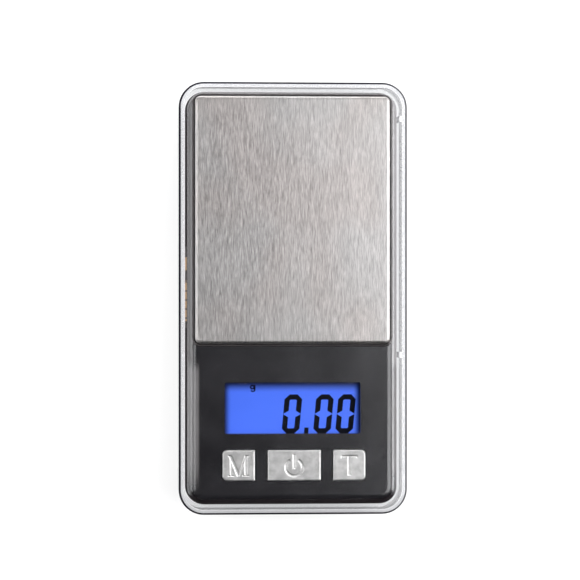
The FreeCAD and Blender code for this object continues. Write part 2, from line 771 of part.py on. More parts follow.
def make_lcd_frame():
    """White frame that clamps the liquid-crystal panel to the board."""
    body = new_body("lcd_frame")
    ring = new_sketch(body, "Ring_outline", "board_z + board_thick")
    rectangle(ring, "glass_width + 2.6", "glass_length_front + 2", "0", "glass_y_front", corner="0.6")
    rectangle(ring, "glass_width + 0.4", "glass_length_front + 0.4", "0", "glass_y_front")
    pad(body, "Ring", ring, "frame_high")
    return body


def make_display_window():
    """Clear lens glued under the window opening."""
    body = new_body("display_window")
    slab(body, "Lens", "panel_z - panel_thick - lens_thick", "lens_thick", "window_width + 4",
         "window_length + 3", along="window_y + 0.4", corner="0.8")
    return body


def make_controller_chip():
    """Bare chip under a dome of black resin on the back of the board."""
    body = new_body("controller_chip")
    outline = new_sketch(body, "Dome_outline", "-window_y", "XZ_Plane")
    polygon(outline, [("0", "board_z - 1.5"), ("2.4", "board_z - 1.35"), ("4.1", "board_z - 0.8"),
                      ("4.9", "board_z"), ("0", "board_z")])
    dome = body.newObject("PartDesign::Revolution", "Dome")
    dome.Profile = outline
    dome.ReferenceAxis = (outline, ["V_Axis"])
    dome.Angle = 360
    doc.recompute()
    return body


def make_board_components():
    """Amplifier, memory and small capacitors soldered to the back of the board."""
    body = new_body("board_components")
    parts = new_sketch(body, "Part_outlines", "board_z")
    rectangle(parts, "5.0", "4.0", "-12.5", "-29.0")
    rectangle(parts, "5.0", "4.0", "12.5", "-29.0")
    for k in range(5):
        rectangle(parts, "2.0", "1.25", f"{-10 + 5 * k}", "-21.0")
    pad(body, "Parts", parts, "1.3", down=True)
    return body


def make_key(name):
    """Metal-finished key cap with a flange under the panel and a stem over its switch."""
    body = new_body(f"{name}_key")
    across, width, _ = KEYS[name]
    for k, (wide, middle, corner) in enumerate(key_rectangles(name, "0")):
        slab(body, f"Cap{k}", "key_flange_z + 0.5", "key_top_z - key_flange_z - 0.5", wide,
             "key_length", middle, "key_y", corner)
    round_edges(body, "CapEdge", "0.2", lies_at("key_top_z"))
    slab(body, "Flange", "key_flange_z", "0.85", f"{width} + 2 * key_flange",
         "key_length + 2 * key_flange", across, "key_y", corner="0.8")
    studs(body, "Stem", "plunger_z", "key_flange_z - plunger_z + 0.2", "3.0", [(across, "key_y")])
    return body


def make_key_switches():
    """Three tactile switches soldered under the keys."""
    body = new_body("key_switches")
    cases = new_sketch(body, "Case_outlines", "board_z + board_thick")
    for across, _, _ in KEYS.values():
        rectangle(cases, "6.0", "6.0", across, "key_y", corner="0.3")
    pad(body, "Cases", cases, "3.5")
    bores(body, "Throats", "board_z + board_thick + 2.0", "2.0", "3.6",
          [(across, "key_y") for across, _, _ in KEYS.values()])
    return body


def make_plunger(name):
    """Switch button that the key's stem pushes."""
    body = new_body(f"{name}_plunger")
    across = KEYS[name][0]
    studs(body, "Plunger", "board_z + board_thick + 2.4", "plunger_z - board_z - board_thick - 2.4",
          "3.4", [(across, "key_y")])
    return body


# ---------------------------------------------------------------- labels and feet

def make_feet():
    """Four rubber strips pressed into the base shell's foot recesses."""
    body = new_body("rubber_feet")
    strips = new_sketch(body, "Strip_outlines", "0")
    for across, along in FEET:
        rectangle(strips, "foot_width", "foot_length", across, along, corner="0.9")
    pad(body, "Strips", strips, "base_z + 0.4")
    return body


def make_rating_label():
    """Thin label stuck on the underside of the base shell."""
    body = new_body("rating_label")
    slab(body, "Label", "base_z - 0.1", "0.1", "36.0", "34.0", along="-8.0", corner="1.5")
    return body


def make_side_label():
    """Thin label on the left flank of the upper shell, leaning with its draft."""
    label = doc.addObject("Part::Box", "side_label")
    label.Label = "side_label"
    label.Length = 0.1
    label.Width = 22.0
    label.Height = 3.6
    lean = value_of("flank_draft")
    label.Placement = Placement(Vector(0, 0, 0), Rotation(Vector(0, 1, 0), lean))
    start = "case_width / 2 - 1.2 * tan(flank_draft * 1deg)"
    bind(label, "Placement.Base.x", f"-({start}) - 0.12")
    bind(label, "Placement.Base.y", "-8.0")
    bind(label, "Placement.Base.z", "parting_z + 1.2")
    return label


# ---------------------------------------------------------------- wires

def rounded_path(corners):
    """Straight runs through corners, joined by tangent arcs as large as the runs allow."""
    edges = []
    start = corners[0]
    for before, corner, after in zip(corners, corners[1:], corners[2:]):
        into = (corner - before).normalize()
        away = (after - corner).normalize()
        turn = into.getAngle(away)
        reach = 0.45 * min((corner - before).Length, (after - corner).Length)
        enter = corner - into * reach
        leave = corner + away * reach
        inward = (away - into).normalize()
        radius = reach / math.tan(turn / 2)
        middle = corner + inward * (radius / math.cos(turn / 2) - radius)
        edges.append(Part.LineSegment(start, enter).toShape())
        edges.append(Part.Arc(enter, middle, leave).toShape())
        start = leave
    edges.append(Part.LineSegment(start, corners[-1]).toShape())
    return Part.Wire(edges)


def make_leads(label, routes, diameter):
    """Insulated wires swept along their routes."""
    tubes = []
    for route in routes:
        corners = [Vector(*(value_of(item) for item in spot)) for spot in route]
        path = rounded_path(corners)
        ring = Part.Wire(Part.Circle(corners[0], corners[1] - corners[0], diameter / 2).toShape())
        tubes.append(path.makePipeShell([ring], True, True))
    leads = doc.addObject("Part::Feature", label)
    leads.Label = label
    leads.Shape = Part.makeCompound(tubes) if len(tubes) > 1 else tubes[0]
    leads.Placement = Placement()
    return leads


def make_battery_leads():
    """Red lead from the far contact and black lead from the near one, both to the board."""
    solder = "board_z + board_thick"
    red = [("25.2", "42.3", "11.9"), ("25.4", "37.4", "10.0"), ("25.2", "32.2", "9.6"),
           ("21.0", "27.6", "9.6"), ("19.6", "9", "9.9"), ("19.9", "-10", "10.2"),
           ("20.3", "-17.4", "10.4"), ("20.3", "-17.4", solder)]
    black = [("24.0", "31.1", "12.0"), ("21.6", "28.8", "12.2"), ("18.6", "24.5", "12.1"),
             ("17.2", "9", "12.0"), ("17.4", "-10", "11.6"), ("17.6", "-17.4", "11.0"),
             ("17.6", "-17.4", solder)]
    return [make_leads("battery_lead_red", [red], 0.9), make_leads("battery_lead_black", [black], 0.9)]


def make_cell_leads():
    """Four fine wires from the gauges to the board, two on each side of the fixed screws."""
    routes = []
    for across in (-3.9, -2.7, 2.7, 3.9):
        routes.append([(f"{across}", "gauge_y_near - 1.9", "11.6"), (f"{across}", "-9.4", "11.9"),
                       (f"{across * 1.3:.2f}", "-17.3", "11.2"),
                       (f"{across * 1.3:.2f}", "-17.3", "board_z + board_thick")])
    return make_leads("cell_leads", routes, 0.6)


# ---------------------------------------------------------------- assembly

def build():
    """Makes every sub-part and returns the ones that are written."""
    nodes = [
        make_dust_cover(), make_upper_casing(), make_base_shell(), make_battery_door(),
        make_platform_plate(), make_platform_carrier(), make_plate_tape(),
        make_load_cell_beam(), make_strain_gauges(), make_stop_screw(),
        make_main_board(), make_backlight(), make_backlight_led(), make_lcd_panel(),
        make_zebra_strip(), make_lcd_frame(), make_display_window(), make_controller_chip(),
        make_board_components(), make_key_switches(), make_feet(), make_rating_label(),
        make_side_label(), make_springs(),
    ]
    for name in KEYS:
        nodes.append(make_key(name))
        nodes.append(make_plunger(name))
    nodes.append(make_battery("battery_near", "cell_y_near", -1))
    nodes.append(make_battery("battery_far", "cell_y_far", 1))
    nodes.append(make_contact("link_contact", -1, "cell_y_near - 4", "cell_y_far + 4"))
    nodes.append(make_contact("negative_contact", 1, "cell_y_near - 4.4", "cell_y_near + 4"))
    nodes.append(make_contact("positive_contact", 1, "cell_y_far - 4.4", "cell_y_far + 4"))
    nodes.extend(make_battery_leads())
    nodes.append(make_cell_leads())
    case_screw = make_screw("case_screw_master", "3.8", "1.5", "1.9", "7.2")
    board_screw = make_screw("board_screw_master", "3.0", "1.1", "1.6", "4.4")
    cell_screw = make_screw("cell_screw_master", "3.8", "1.3", "1.9", "8.0")
    nodes.append(make_group("case_screws", case_screw, CASE_SCREWS, "base_z + 4.2"))
    nodes.append(make_group("board_screws", board_screw, BOARD_SCREWS, "board_z"))
    nodes.append(make_group("cell_base_screws", cell_screw,
                            [("0", "fixed_y_near"), ("0", "fixed_y_far")],
                            "beam_low_z + beam_high", head_up=True))
    nodes.append(make_group("cell_tray_screws", cell_screw,
                            [("0", "free_y_near"), ("0", "free_y_far")], "beam_low_z"))
    doc.recompute()
    return nodes


def check(nodes):
    """Stops on any failed object or bad shape."""
    for item in doc.Objects:
        if any(state in ("Invalid", "Error") for state in item.State):
            raise ValueError(f"{item.Name} is {item.State}")
    for node in nodes:
        if node.Shape.isNull() or not node.Shape.isValid():
            raise ValueError(f"{node.Label} has a bad shape")


def write(nodes):
    """Writes each sub-part to a file named by its label."""
    os.makedirs("parts", exist_ok=True)
    for node in nodes:
        node.Shape.exportStep(f"parts/{node.Label}.step")
        box = node.Shape.BoundBox
        print(f"{node.Label}: {len(node.Shape.Solids)} solids, {node.Shape.Volume:.1f} mm3, "
              f"x {box.XMin:.2f}..{box.XMax:.2f} y {box.YMin:.2f}..{box.YMax:.2f} "
              f"z {box.ZMin:.2f}..{box.ZMax:.2f}")


NODES = build()
check(NODES)
write(NODES)
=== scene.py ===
"""Looks of a pocket digital gram scale under its clear dust cover.

The CAD model gives every size and place. This script dresses its nodes, replaces the display glass and
the three keys with finer meshes, and sets the studio. Lengths are in millimetres unless a line says metres.
"""

import logging
import math
from dataclasses import dataclass
from enum import Enum
from typing import Any, Iterable, Sequence

import bpy
import numpy as np
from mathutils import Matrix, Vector

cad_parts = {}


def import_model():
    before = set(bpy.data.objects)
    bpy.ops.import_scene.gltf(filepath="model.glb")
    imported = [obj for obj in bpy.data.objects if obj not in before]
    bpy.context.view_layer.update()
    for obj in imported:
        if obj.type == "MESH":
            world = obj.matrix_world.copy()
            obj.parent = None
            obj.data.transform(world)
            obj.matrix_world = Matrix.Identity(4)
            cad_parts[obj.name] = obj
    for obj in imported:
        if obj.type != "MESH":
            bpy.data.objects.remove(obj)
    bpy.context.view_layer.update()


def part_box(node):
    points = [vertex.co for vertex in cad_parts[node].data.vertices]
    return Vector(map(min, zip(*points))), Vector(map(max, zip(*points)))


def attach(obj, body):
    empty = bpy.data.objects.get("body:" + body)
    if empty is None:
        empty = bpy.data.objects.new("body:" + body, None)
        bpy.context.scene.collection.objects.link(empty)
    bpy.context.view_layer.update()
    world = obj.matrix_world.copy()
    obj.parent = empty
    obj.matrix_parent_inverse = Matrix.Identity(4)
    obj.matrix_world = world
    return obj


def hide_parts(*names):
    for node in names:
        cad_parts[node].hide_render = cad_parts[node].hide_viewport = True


LOG = logging.getLogger("gram_scale")
MM = 0.001

Colour = tuple[float, float, float]
Shade = tuple[float, float, float, float]
Point = tuple[float, float, float]
Pair = tuple[float, float]
Array = np.ndarray
Shape = tuple[Array, list[list[int]]]


class Body(Enum):
    """The CAD bodies that new pieces ride on."""

    CASING = "casing"
    MODE = "mode_button"
    POWER = "power_button"
    TARE = "tare_button"


class Legend(Enum):
    """The sign engraved in a key."""

    MODE = "mode"
    POWER = "power"
    TARE = "tare"


def linear(red: float, green: float, blue: float) -> Shade:
    """Turns a display colour into linear light: each share plus 0.055, over 1.055, to the power 2.4.

    Args:
        red: Red from 0 to 255.
        green: Green from 0 to 255.
        blue: Blue from 0 to 255.

    Returns:
        The linear colour with alpha 1; shares near nought are divided by 12.92 instead.
    """
    shares = (level / 255 for level in (red, green, blue))
    levels = (share / 12.92 if share <= 0.04045 else ((share + 0.055) / 1.055) ** 2.4 for share in shares)
    return (*levels, 1.0)


def toned(colour: Colour, factor: float = 1.0, lift: float = 0.0) -> Shade:
    """Multiplies a colour by a factor and adds a lift, up to white, with alpha 1."""
    return (*(min(1.0, level * factor + lift) for level in colour), 1.0)


def node_box(node: str) -> tuple[Array, Array]:
    """Lowest and highest corners of a CAD node, in millimetres."""
    low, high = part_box(node)
    return np.array(low) / MM, np.array(high) / MM


# ------------------------------------------------------------------ shader graph

class Value:
    """A number socket in a shader graph, with the usual operators."""

    def __init__(self, graph: "Graph", socket: Any) -> None:
        """Keeps the graph and the socket or plain number."""
        self.graph = graph
        self.socket = socket

    def _maths(self, operation: str, *others: Any, clamp: bool = False) -> "Value":
        """Adds a Math node on this value and others.

        Args:
            operation: The node's operation.
            others: Values or numbers for its further sockets.
            clamp: True to hold the result between 0 and 1.

        Returns:
            The result.
        """
        links = {0: self, **{k + 1: other for k, other in enumerate(others)}}
        node = self.graph.node("ShaderNodeMath", {"operation": operation, "use_clamp": clamp}, links)
        return Value(self.graph, node.outputs[0])

    def __add__(self, other: Any) -> "Value":
        """Sum."""
        return self._maths("ADD", other)

    __radd__ = __add__

    def __sub__(self, other: Any) -> "Value":
        """Difference."""
        return self._maths("SUBTRACT", other)

    def __rsub__(self, other: Any) -> "Value":
        """A number less this value."""
        return (self * -1.0)._maths("ADD", other)

    def __mul__(self, other: Any) -> "Value":
        """Product."""
        return self._maths("MULTIPLY", other)

    __rmul__ = __mul__

    def __truediv__(self, other: Any) -> "Value":
        """Quotient."""
        return self._maths("DIVIDE", other)

    def __pow__(self, other: Any) -> "Value":
        """Power."""
        return self._maths("POWER", other)

    def __abs__(self) -> "Value":
        """Size without its sign."""
        return self._maths("ABSOLUTE")

    def above(self, level: Any) -> "Value":
        """1 where the value is over level, else 0."""
        return self._maths("GREATER_THAN", level)

    def below(self, level: Any) -> "Value":
        """1 where the value is under level, else 0."""
        return self._maths("LESS_THAN", level)

    def least(self, other: Any) -> "Value":
        """The smaller of two."""
        return self._maths("MINIMUM", other)

    def most(self, other: Any) -> "Value":
        """The larger of two."""
        return self._maths("MAXIMUM", other)

    def fraction(self) -> "Value":
        """What is left after the whole part."""
        return self._maths("FRACT")

    def clamped(self) -> "Value":
        """Held between 0 and 1."""
        return self._maths("ADD", 0.0, clamp=True)

    def rise(self, low: float, high: float) -> "Value":
        """Smooth step from 0 at low to 1 at high, which falls where high is under low.

        Args:
            low: Where it is 0.
            high: Where it is 1.

        Returns:
            Three times the square of the share less twice its cube, for the share of the way.
        """
        settings = {"interpolation_type": "SMOOTHSTEP"}
        if low < high:
            links = {"Value": self, "From Min": low, "From Max": high, "To Min": 0.0, "To Max": 1.0}
        else:
            links = {"Value": self, "From Min": high, "From Max": low, "To Min": 1.0, "To Max": 0.0}
        node = self.graph.node("ShaderNodeMapRange", settings, links)
        return Value(self.graph, node.outputs["Result"])


class Graph:
    """The node graph of one material."""

    def __init__(self, name: str) -> None:
        """Starts an empty material.

        Args:
            name: The material's name.
        """
        self.material = bpy.data.materials.new(name)
        self.material.use_nodes = True
        self.tree = self.material.node_tree
        self.tree.nodes.clear()
        self.output = self.node("ShaderNodeOutputMaterial")
        self._place: Any = None

    def node(self, kind: str, settings: dict[str, Any] | None = None,
             links: dict[Any, Any] | None = None) -> Any:
        """Adds one node.

        Args:
            kind: The node's type.
            settings: Properties that are set first.
            links: Socket name or number to a number, colour, Value or output socket.

        Returns:
            The node.
        """
        made = self.tree.nodes.new(kind)
        for key, value in (settings or {}).items():
            setattr(made, key, value)
        for key, value in (links or {}).items():
            self._feed(made.inputs[key], value)
        return made

    def _feed(self, target: Any, value: Any) -> None:
        """Links a Value or an output socket to an input, or sets a plain number or colour on it.

        Args:
            target: The input socket.
            value: What it gets.
        """
        if isinstance(value, Value):
            value = value.socket
        if isinstance(value, bpy.types.NodeSocket):
            self.tree.links.new(value, target)
        else:
            target.default_value = value

    @property
    def place(self) -> Any:
        """Object coordinates, in metres."""
        if self._place is None:
            self._place = self.node("ShaderNodeTexCoord").outputs["Object"]
        return self._place

    def axes(self) -> tuple[Value, Value, Value]:
        """Object coordinates apart, in millimetres.

        Returns:
            The values along X, Y and Z.
        """
        scaled = self.node("ShaderNodeVectorMath", {"operation": "SCALE"}, {0: self.place, "Scale": 1 / MM})
        parts = self.node("ShaderNodeSeparateXYZ", links={0: scaled.outputs[0]})
        return tuple(Value(self, parts.outputs[k]) for k in range(3))

    def stretched(self, x: float, y: float, z: float) -> Any:
        """Object coordinates times a factor along each axis, per millimetre.

        Args:
            x: Factor along X.
            y: Factor along Y.
            z: Factor along Z.

        Returns:
            The vector socket.
        """
        factor = (x / MM, y / MM, z / MM)
        node = self.node("ShaderNodeVectorMath", {"operation": "MULTIPLY"}, {0: self.place, 1: factor})
        return node.outputs[0]

    def noise(self, where: Any, scale: float, detail: float = 3.0, rough: float = 0.55) -> Value:
        """Fractal noise about 0.5.

        Args:
            where: The vector socket it reads.
            scale: How many blobs per unit.
            detail: How many octaves.
            rough: How strong the fine octaves are.

        Returns:
            The noise value.
        """
        links = {"Vector": where, "Scale": scale, "Detail": detail, "Roughness": rough}
        return Value(self, self.node("ShaderNodeTexNoise", links=links).outputs[0])

    def blend(self, share: Any, first: Any, second: Any, kind: str = "MIX") -> Any:
        """Mixes two colours.

        Args:
            share: How much of the second, from 0 to 1.
            first: Colour or socket.
            second: Colour or socket.
            kind: How they mix.

        Returns:
            The colour socket.
        """
        made = self.node("ShaderNodeMix", {"data_type": "RGBA", "blend_type": kind})
        colours = [s for s in made.inputs if s.type == "RGBA"]
        for target, value in ((made.inputs[0], share), (colours[0], first), (colours[1], second)):
            self._feed(target, value)
        return next(s for s in made.outputs if s.type == "RGBA")

    def bump(self, height: Value, distance: float, strength: float = 1.08) -> Any:
        """Turns a height into a shading normal.

        Args:
            height: The height, from 0 to 1.
            distance: How tall 1 is, in millimetres.
            strength: How much of it shows.

        Returns:
            The normal socket.
        """
        links = {"Height": height, "Distance": distance * MM, "Strength": strength}
        return self.node("ShaderNodeBump", links=links).outputs["Normal"]

    def principled(self, **links: Any) -> Any:
        """Adds the surface shader.

        Args:
            links: Socket names, with an underscore for each blank, to values or links.

        Returns:
            The shader socket.
        """
        named = {key.replace("_", " "): value for key, value in links.items()}
        return self.node("ShaderNodeBsdfPrincipled", links=named).outputs[0]

    def mix_shaders(self, share: Any, first: Any, second: Any) -> Any:
        """Mixes two shaders, with share of the second; returns the shader socket."""
        return self.node("ShaderNodeMixShader", links={0: share, 1: first, 2: second}).outputs[0]

    def finish(self, surface: Any) -> Any:
        """Joins the surface to the output.

        Args:
            surface: The shader socket.

        Returns:
            The material.
        """
        self.tree.links.new(surface, self.output.inputs["Surface"])
        return self.material


# ------------------------------------------------------------------ finishes

@dataclass(frozen=True)
class PaintedRimLight:
    """Where a painted highlight pales a shell's rolled rim, and where its near end and its flank are matt;
    the near end's matt is painted shade.

    Each span is the place where a smooth step starts and the place where it is full.
    """

    flank_z: float = 13.9
    roll_z: Pair = (16.52, 16.15)
    # Where the painted highlight fades out towards the near end.
    highlight_y: Pair = (-53.0, -44.0)
    beside_keys_y: Pair = (-16.0, -20.0)
    # Right beside the keys the painted highlight is faint; left beside them it spreads down to the flank.
    right_unlit_in_x: Pair = (24.9, 25.3)
    right_unlit_out_x: Pair = (27.4, 26.2)
    left_highlight_x: Pair = (-24.9, -25.7)
    bright_x: Pair = (25.0, 27.0)
    # Where the near end's roll is painted in shade.
    near_end_y: Pair = (-52.4, -53.6)
    near_end_z: Pair = (16.45, 16.0)
    # Greys of the painted highlight, and the paler grey where it is brightest.
    highlight_grey: Colour = (0.092, 0.083, 0.083)
    highlight_pale: Colour = (0.225, 0.213, 0.214)
    # Matt colours of the flank and of the near end's painted shade.
    brown: Colour = (0.020, 0.013, 0.014)
    near_black: Colour = (0.010, 0.009, 0.011)

    def paint_rim_light(self, graph: Graph, tone: Any, cloud: Value) -> Any:
        """Pales a colour on the rim with a painted highlight: most on the left beside the keys, least on the
        right.

        Args:
            graph: The graph that reads the position.
            tone: The colour without the painted highlight.
            cloud: Broad noise that breaks up the painted highlight.

        Returns:
            The colour socket.
        """
        across, along, up = graph.axes()
        beside_keys = along.rise(*self.beside_keys_y)
        right_unlit = across.rise(*self.right_unlit_in_x) * across.rise(*self.right_unlit_out_x) * beside_keys
        left_highlight = across.rise(*self.left_highlight_x) * beside_keys * 0.9
        # worn is the share of the painted highlight on the rim.
        worn = (up.rise(*self.roll_z) * (1 - right_unlit * 0.85)).most(left_highlight)
        worn = worn * up.rise(self.flank_z, self.flank_z + 0.3)
        worn = worn * along.rise(*self.highlight_y) * (0.55 + cloud * 0.5)
        # bright picks the paler painted highlight: on the right away from the keys, and on the left beside
        # them.
        bright = (across.rise(*self.bright_x) * (1 - beside_keys)).most(left_highlight)
        pale = graph.blend(bright, toned(self.highlight_grey), toned(self.highlight_pale))
        return graph.blend(worn.clamped(), tone, pale)

    def over_flank(self, graph: Graph, gloss: Any, cloud: Value, grain: Value, depth: float) -> Any:
        """Covers the flank below its edge, and the near end's roll as painted shade, with a coarse matt
        brown.

        Args:
            graph: The graph that reads the position.
            gloss: The shader of the rest.
            cloud: Broad noise between the two browns.
            grain: Fine noise for the relief.
            depth: How deep that relief is.

        Returns:
            The shader socket.
        """
        _, along, up = graph.axes()
        # The near end's roll gets painted shade: matt and dark instead of gloss.
        near_end = along.rise(*self.near_end_y) * up.rise(*self.near_end_z)
        matt = graph.principled(Base_Color=graph.blend(cloud, toned(self.brown), toned(self.near_black)),
                                Roughness=(0.8 + grain * 0.1), Specular_IOR_Level=0.1,
                                Normal=graph.bump(grain, depth))
        share = up.rise(self.flank_z + 0.25, self.flank_z - 0.25).most(near_end)
        return graph.mix_shaders(share, gloss, matt)


@dataclass(frozen=True)
class MouldedPlastic:
    """Moulded plastic with spark-eroded grain, flow marks, scuffed high spots and a little dust; with a rim
    set, a painted highlight and painted shade on its rolled rim.
    """

    name: str
    colour: Colour
    roughness: float = 0.38
    grain: float = 0.012
    grain_scale: float = 5.0
    spread: float = 0.12
    index: float = 1.5
    specular: float = 0.5
    # Painted highlight and painted shade on the rolled rim, if any.
    rim: PaintedRimLight | None = None

    def material(self) -> Any:
        """Builds the node material.

        Returns:
            The material.
        """
        graph = Graph(self.name)
        cloud = graph.noise(graph.place, 90.0, 3.0)
        grain = graph.noise(graph.place, self.grain_scale / MM, 2.0, 0.6)
        scuff = graph.noise(graph.stretched(1.2, 0.25, 1.2), 1.0, 4.0, 0.7)
        tone = graph.blend(cloud.rise(0.35, 0.65), toned(self.colour, 1 - self.spread),
                           toned(self.colour, 1 + self.spread, 0.002))
        scuffed = scuff.rise(0.60, 0.74)
        tone = graph.blend(scuffed * 0.25, tone, toned(self.colour, 1.5, 0.01))
        rough = self.roughness + (grain - 0.5) * 0.10 + (cloud - 0.5) * 0.08 - scuffed * 0.05
        # The rim paints a highlight on the rolled rim.
        if self.rim is not None:
            tone = self.rim.paint_rim_light(graph, tone, cloud)
        gloss = graph.principled(Base_Color=tone, Roughness=rough.clamped(), IOR=self.index,
                                 Specular_IOR_Level=self.specular, Normal=graph.bump(grain, self.grain))
        # The rim paints shade on the near end's roll.
        if self.rim is not None:
            gloss = self.rim.over_flank(graph, gloss, cloud, grain, self.grain * 3)
        return graph.finish(gloss)


@dataclass(frozen=True)
class BrushedSteel:
    """Sheet steel with long straight brush lines, fine scratches and soft tone bands."""

    name: str
    colour: Colour = (0.562, 0.543, 0.530)
    roughness: float = 0.38
    line: float = 0.016

    def material(self) -> Any:
        """Builds the node material, whose lines run along Y.

        Returns:
            The material.
        """
        graph = Graph(self.name)
        fine = graph.noise(graph.stretched(6.5, 0.42, 6.5), 1.0, 3.0, 0.65)
        middle = graph.noise(graph.stretched(2.6, 0.22, 2.6), 1.0, 2.0, 0.6)
        broad = graph.noise(graph.stretched(0.20, 0.06, 0.20), 1.0, 3.0, 0.6)
        scratch = graph.noise(graph.stretched(16.0, 0.06, 16.0), 1.0, 1.0, 0.5).rise(0.66, 0.74)
        warm = graph.noise(graph.stretched(0.05, 0.05, 0.05), 1.0, 1.0)
        streak = (fine * 0.65 + middle * 0.35 + (broad - 0.5) * 0.12).rise(0.28, 0.74)
        tone = graph.blend(streak, toned(self.colour, 0.66), toned(self.colour, 1.30))
        tone = graph.blend(warm.rise(0.35, 0.65) * 0.55, tone, (1.0, 0.935, 0.91, 1.0), "MULTIPLY")
        tone = graph.blend(scratch * 0.35, tone, (0.9, 0.9, 0.9, 1.0))
        rough = self.roughness + (fine - 0.5) * 0.22 + (middle - 0.5) * 0.12
        return graph.finish(graph.principled(
            Base_Color=tone, Metallic=1.0, Roughness=rough.clamped(),
            Normal=graph.bump(fine * 0.7 + middle * 0.3, self.line)))


@dataclass(frozen=True)
class RoofOutline:
    """Round-cornered outline of the cover where its roof rolls over into its walls, in millimetres."""

    half_x: float
    half_y: float
    corner: float
    roll_z: float

    def inset(self, graph: Graph) -> Value:
        """How far outside the outline a point lies: past its straight sides, or round its corners.

        Args:
            graph: The graph that reads the position.

        Returns:
            Negative inside, nought on the outline.
        """
        across, along, _ = graph.axes()
        over_x = abs(across) - (self.half_x - self.corner)
        over_y = abs(along) - (self.half_y - self.corner)
        past_x, past_y = over_x.most(0.0), over_y.most(0.0)
        round_part = (past_x * past_x + past_y * past_y) ** 0.5
        return round_part + over_x.most(over_y).least(0.0) - self.corner


@dataclass(frozen=True)
class ClearPlastic:
    """Clear moulded plastic: see-through face on, mirror-like at a grazing look, with painted shade in its
    outer roll, lighter on the right, and a painted grey band inside it.

    Each span is the way past the outline, or the height, where a smooth step starts and where it is full.
    """

    name: str
    tint: Colour = (0.965, 0.967, 0.972)
    # Mirror colour in the roll, and the dimmer one painted on the flat roof and walls.
    shine: Colour = (0.95, 0.96, 0.98)
    dull: Colour = (0.09, 0.09, 0.10)
    edge: Colour = (0.012, 0.011, 0.016)
    inner_edge: Colour = (0.20, 0.20, 0.23)
    head_on: float = 0.03
    outline: RoofOutline | None = None
    # Spans of the roll's painted shade, its painted grey band, the roof's dimmed reflection and the right
    # side painted lighter.
    dark_span: Pair = (-0.70, -0.42)
    grey_band_span: Pair = (-1.75, -0.9)
    flat_span: Pair = (-1.9, -3.2)
    lit_side: Pair = (18.0, 30.0)
    grey_band: float = 0.34

    def _mirror_colour(self, graph: Graph, inset: Value) -> Any:
        """Colour of the mirror part, dulled on the flat roof and lower down the walls: a reflection painted
        dimmer there than in the roll.

        Args:
            graph: The graph that reads the position.
            inset: How far a point lies past the roof's outline.

        Returns:
            The colour socket.
        """
        up = graph.axes()[2]
        wall = up.rise(self.outline.roll_z - 0.1, self.outline.roll_z - 2.0)
        return graph.blend(inset.rise(*self.flat_span).most(wall * 0.6), toned(self.shine), toned(self.dull))

    def _with_roll(self, graph: Graph, inset: Value, glass: Any) -> Any:
        """Paints shade on the outer roll, where the plastic is seen through its length, more on the left,
        with a painted grey band just inside it.

        Args:
            graph: The graph that reads the position.
            inset: How far a point lies past the roof's outline.
            glass: The shader of the rest.

        Returns:
            The shader socket.
        """
        across, _, up = graph.axes()
        high = up.rise(self.outline.roll_z - 0.1, self.outline.roll_z + 0.3)
        # Painted: the roll's shade is lighter on the right side.
        side = 1 - across.rise(*self.lit_side) * 0.38
        rim = inset.rise(*self.dark_span) * side * 0.95 + inset.rise(*self.grey_band_span) * self.grey_band
        # Painted shade in the outer roll, and a painted grey band inside it.
        tone = graph.blend(inset.rise(-0.75, -0.50), toned(self.inner_edge), toned(self.edge))
        dark = graph.principled(Base_Color=tone, Roughness=0.9, Specular_IOR_Level=0.0)
        return graph.mix_shaders((rim * high).clamped(), glass, dark)

    def material(self) -> Any:
        """Builds the node material; the mirror's share is head_on plus the fifth power of the slant.

        Returns:
            The material.
        """
        graph = Graph(self.name)
        haze = graph.noise(graph.place, 60.0, 4.0, 0.6)
        hair = graph.noise(graph.stretched(9.0, 0.35, 9.0), 1.0, 2.0).rise(0.70, 0.78)
        slant = Value(graph, graph.node("ShaderNodeLayerWeight", links={"Blend": 0.5}).outputs["Facing"])
        share = self.head_on + slant ** 5.0 * (1 - self.head_on)
        share = share + hair * 0.01 + (haze - 0.5).most(0.0) * 0.02
        inset = self.outline.inset(graph) if self.outline is not None else None
        shine = toned(self.shine) if inset is None else self._mirror_colour(graph, inset)
        clear = graph.node("ShaderNodeBsdfTransparent", links={"Color": toned(self.tint)}).outputs[0]
        mirror = graph.principled(Base_Color=shine, Metallic=1.0, Roughness=(0.03 + haze * 0.05))
        glass = graph.mix_shaders(share.clamped(), clear, mirror)
        return graph.finish(glass if inset is None else self._with_roll(graph, inset, glass))


@dataclass(frozen=True)
class SatinKeyMetal:
    """Satin silver plating, faintly mottled."""

    name: str
    colour: Colour = (0.60, 0.592, 0.580)
    roughness: float = 0.40

    def material(self) -> Any:
        """Builds the node material.

        Returns:
            The material.
        """
        graph = Graph(self.name)
        mottle = graph.noise(graph.stretched(0.55, 0.55, 0.55), 1.0, 4.0, 0.6)
        fine = graph.noise(graph.place, 9.0 / MM, 2.0)
        tone = graph.blend(mottle.rise(0.30, 0.70), toned(self.colour, 0.86), toned(self.colour, 1.14))
        rough = self.roughness + (fine - 0.5) * 0.14 + (mottle - 0.5) * 0.08
        return graph.finish(graph.principled(
            Base_Color=tone, Metallic=0.85, Roughness=rough.clamped(),
            Normal=graph.bump(fine * 0.6 + mottle * 0.4, 0.007)))


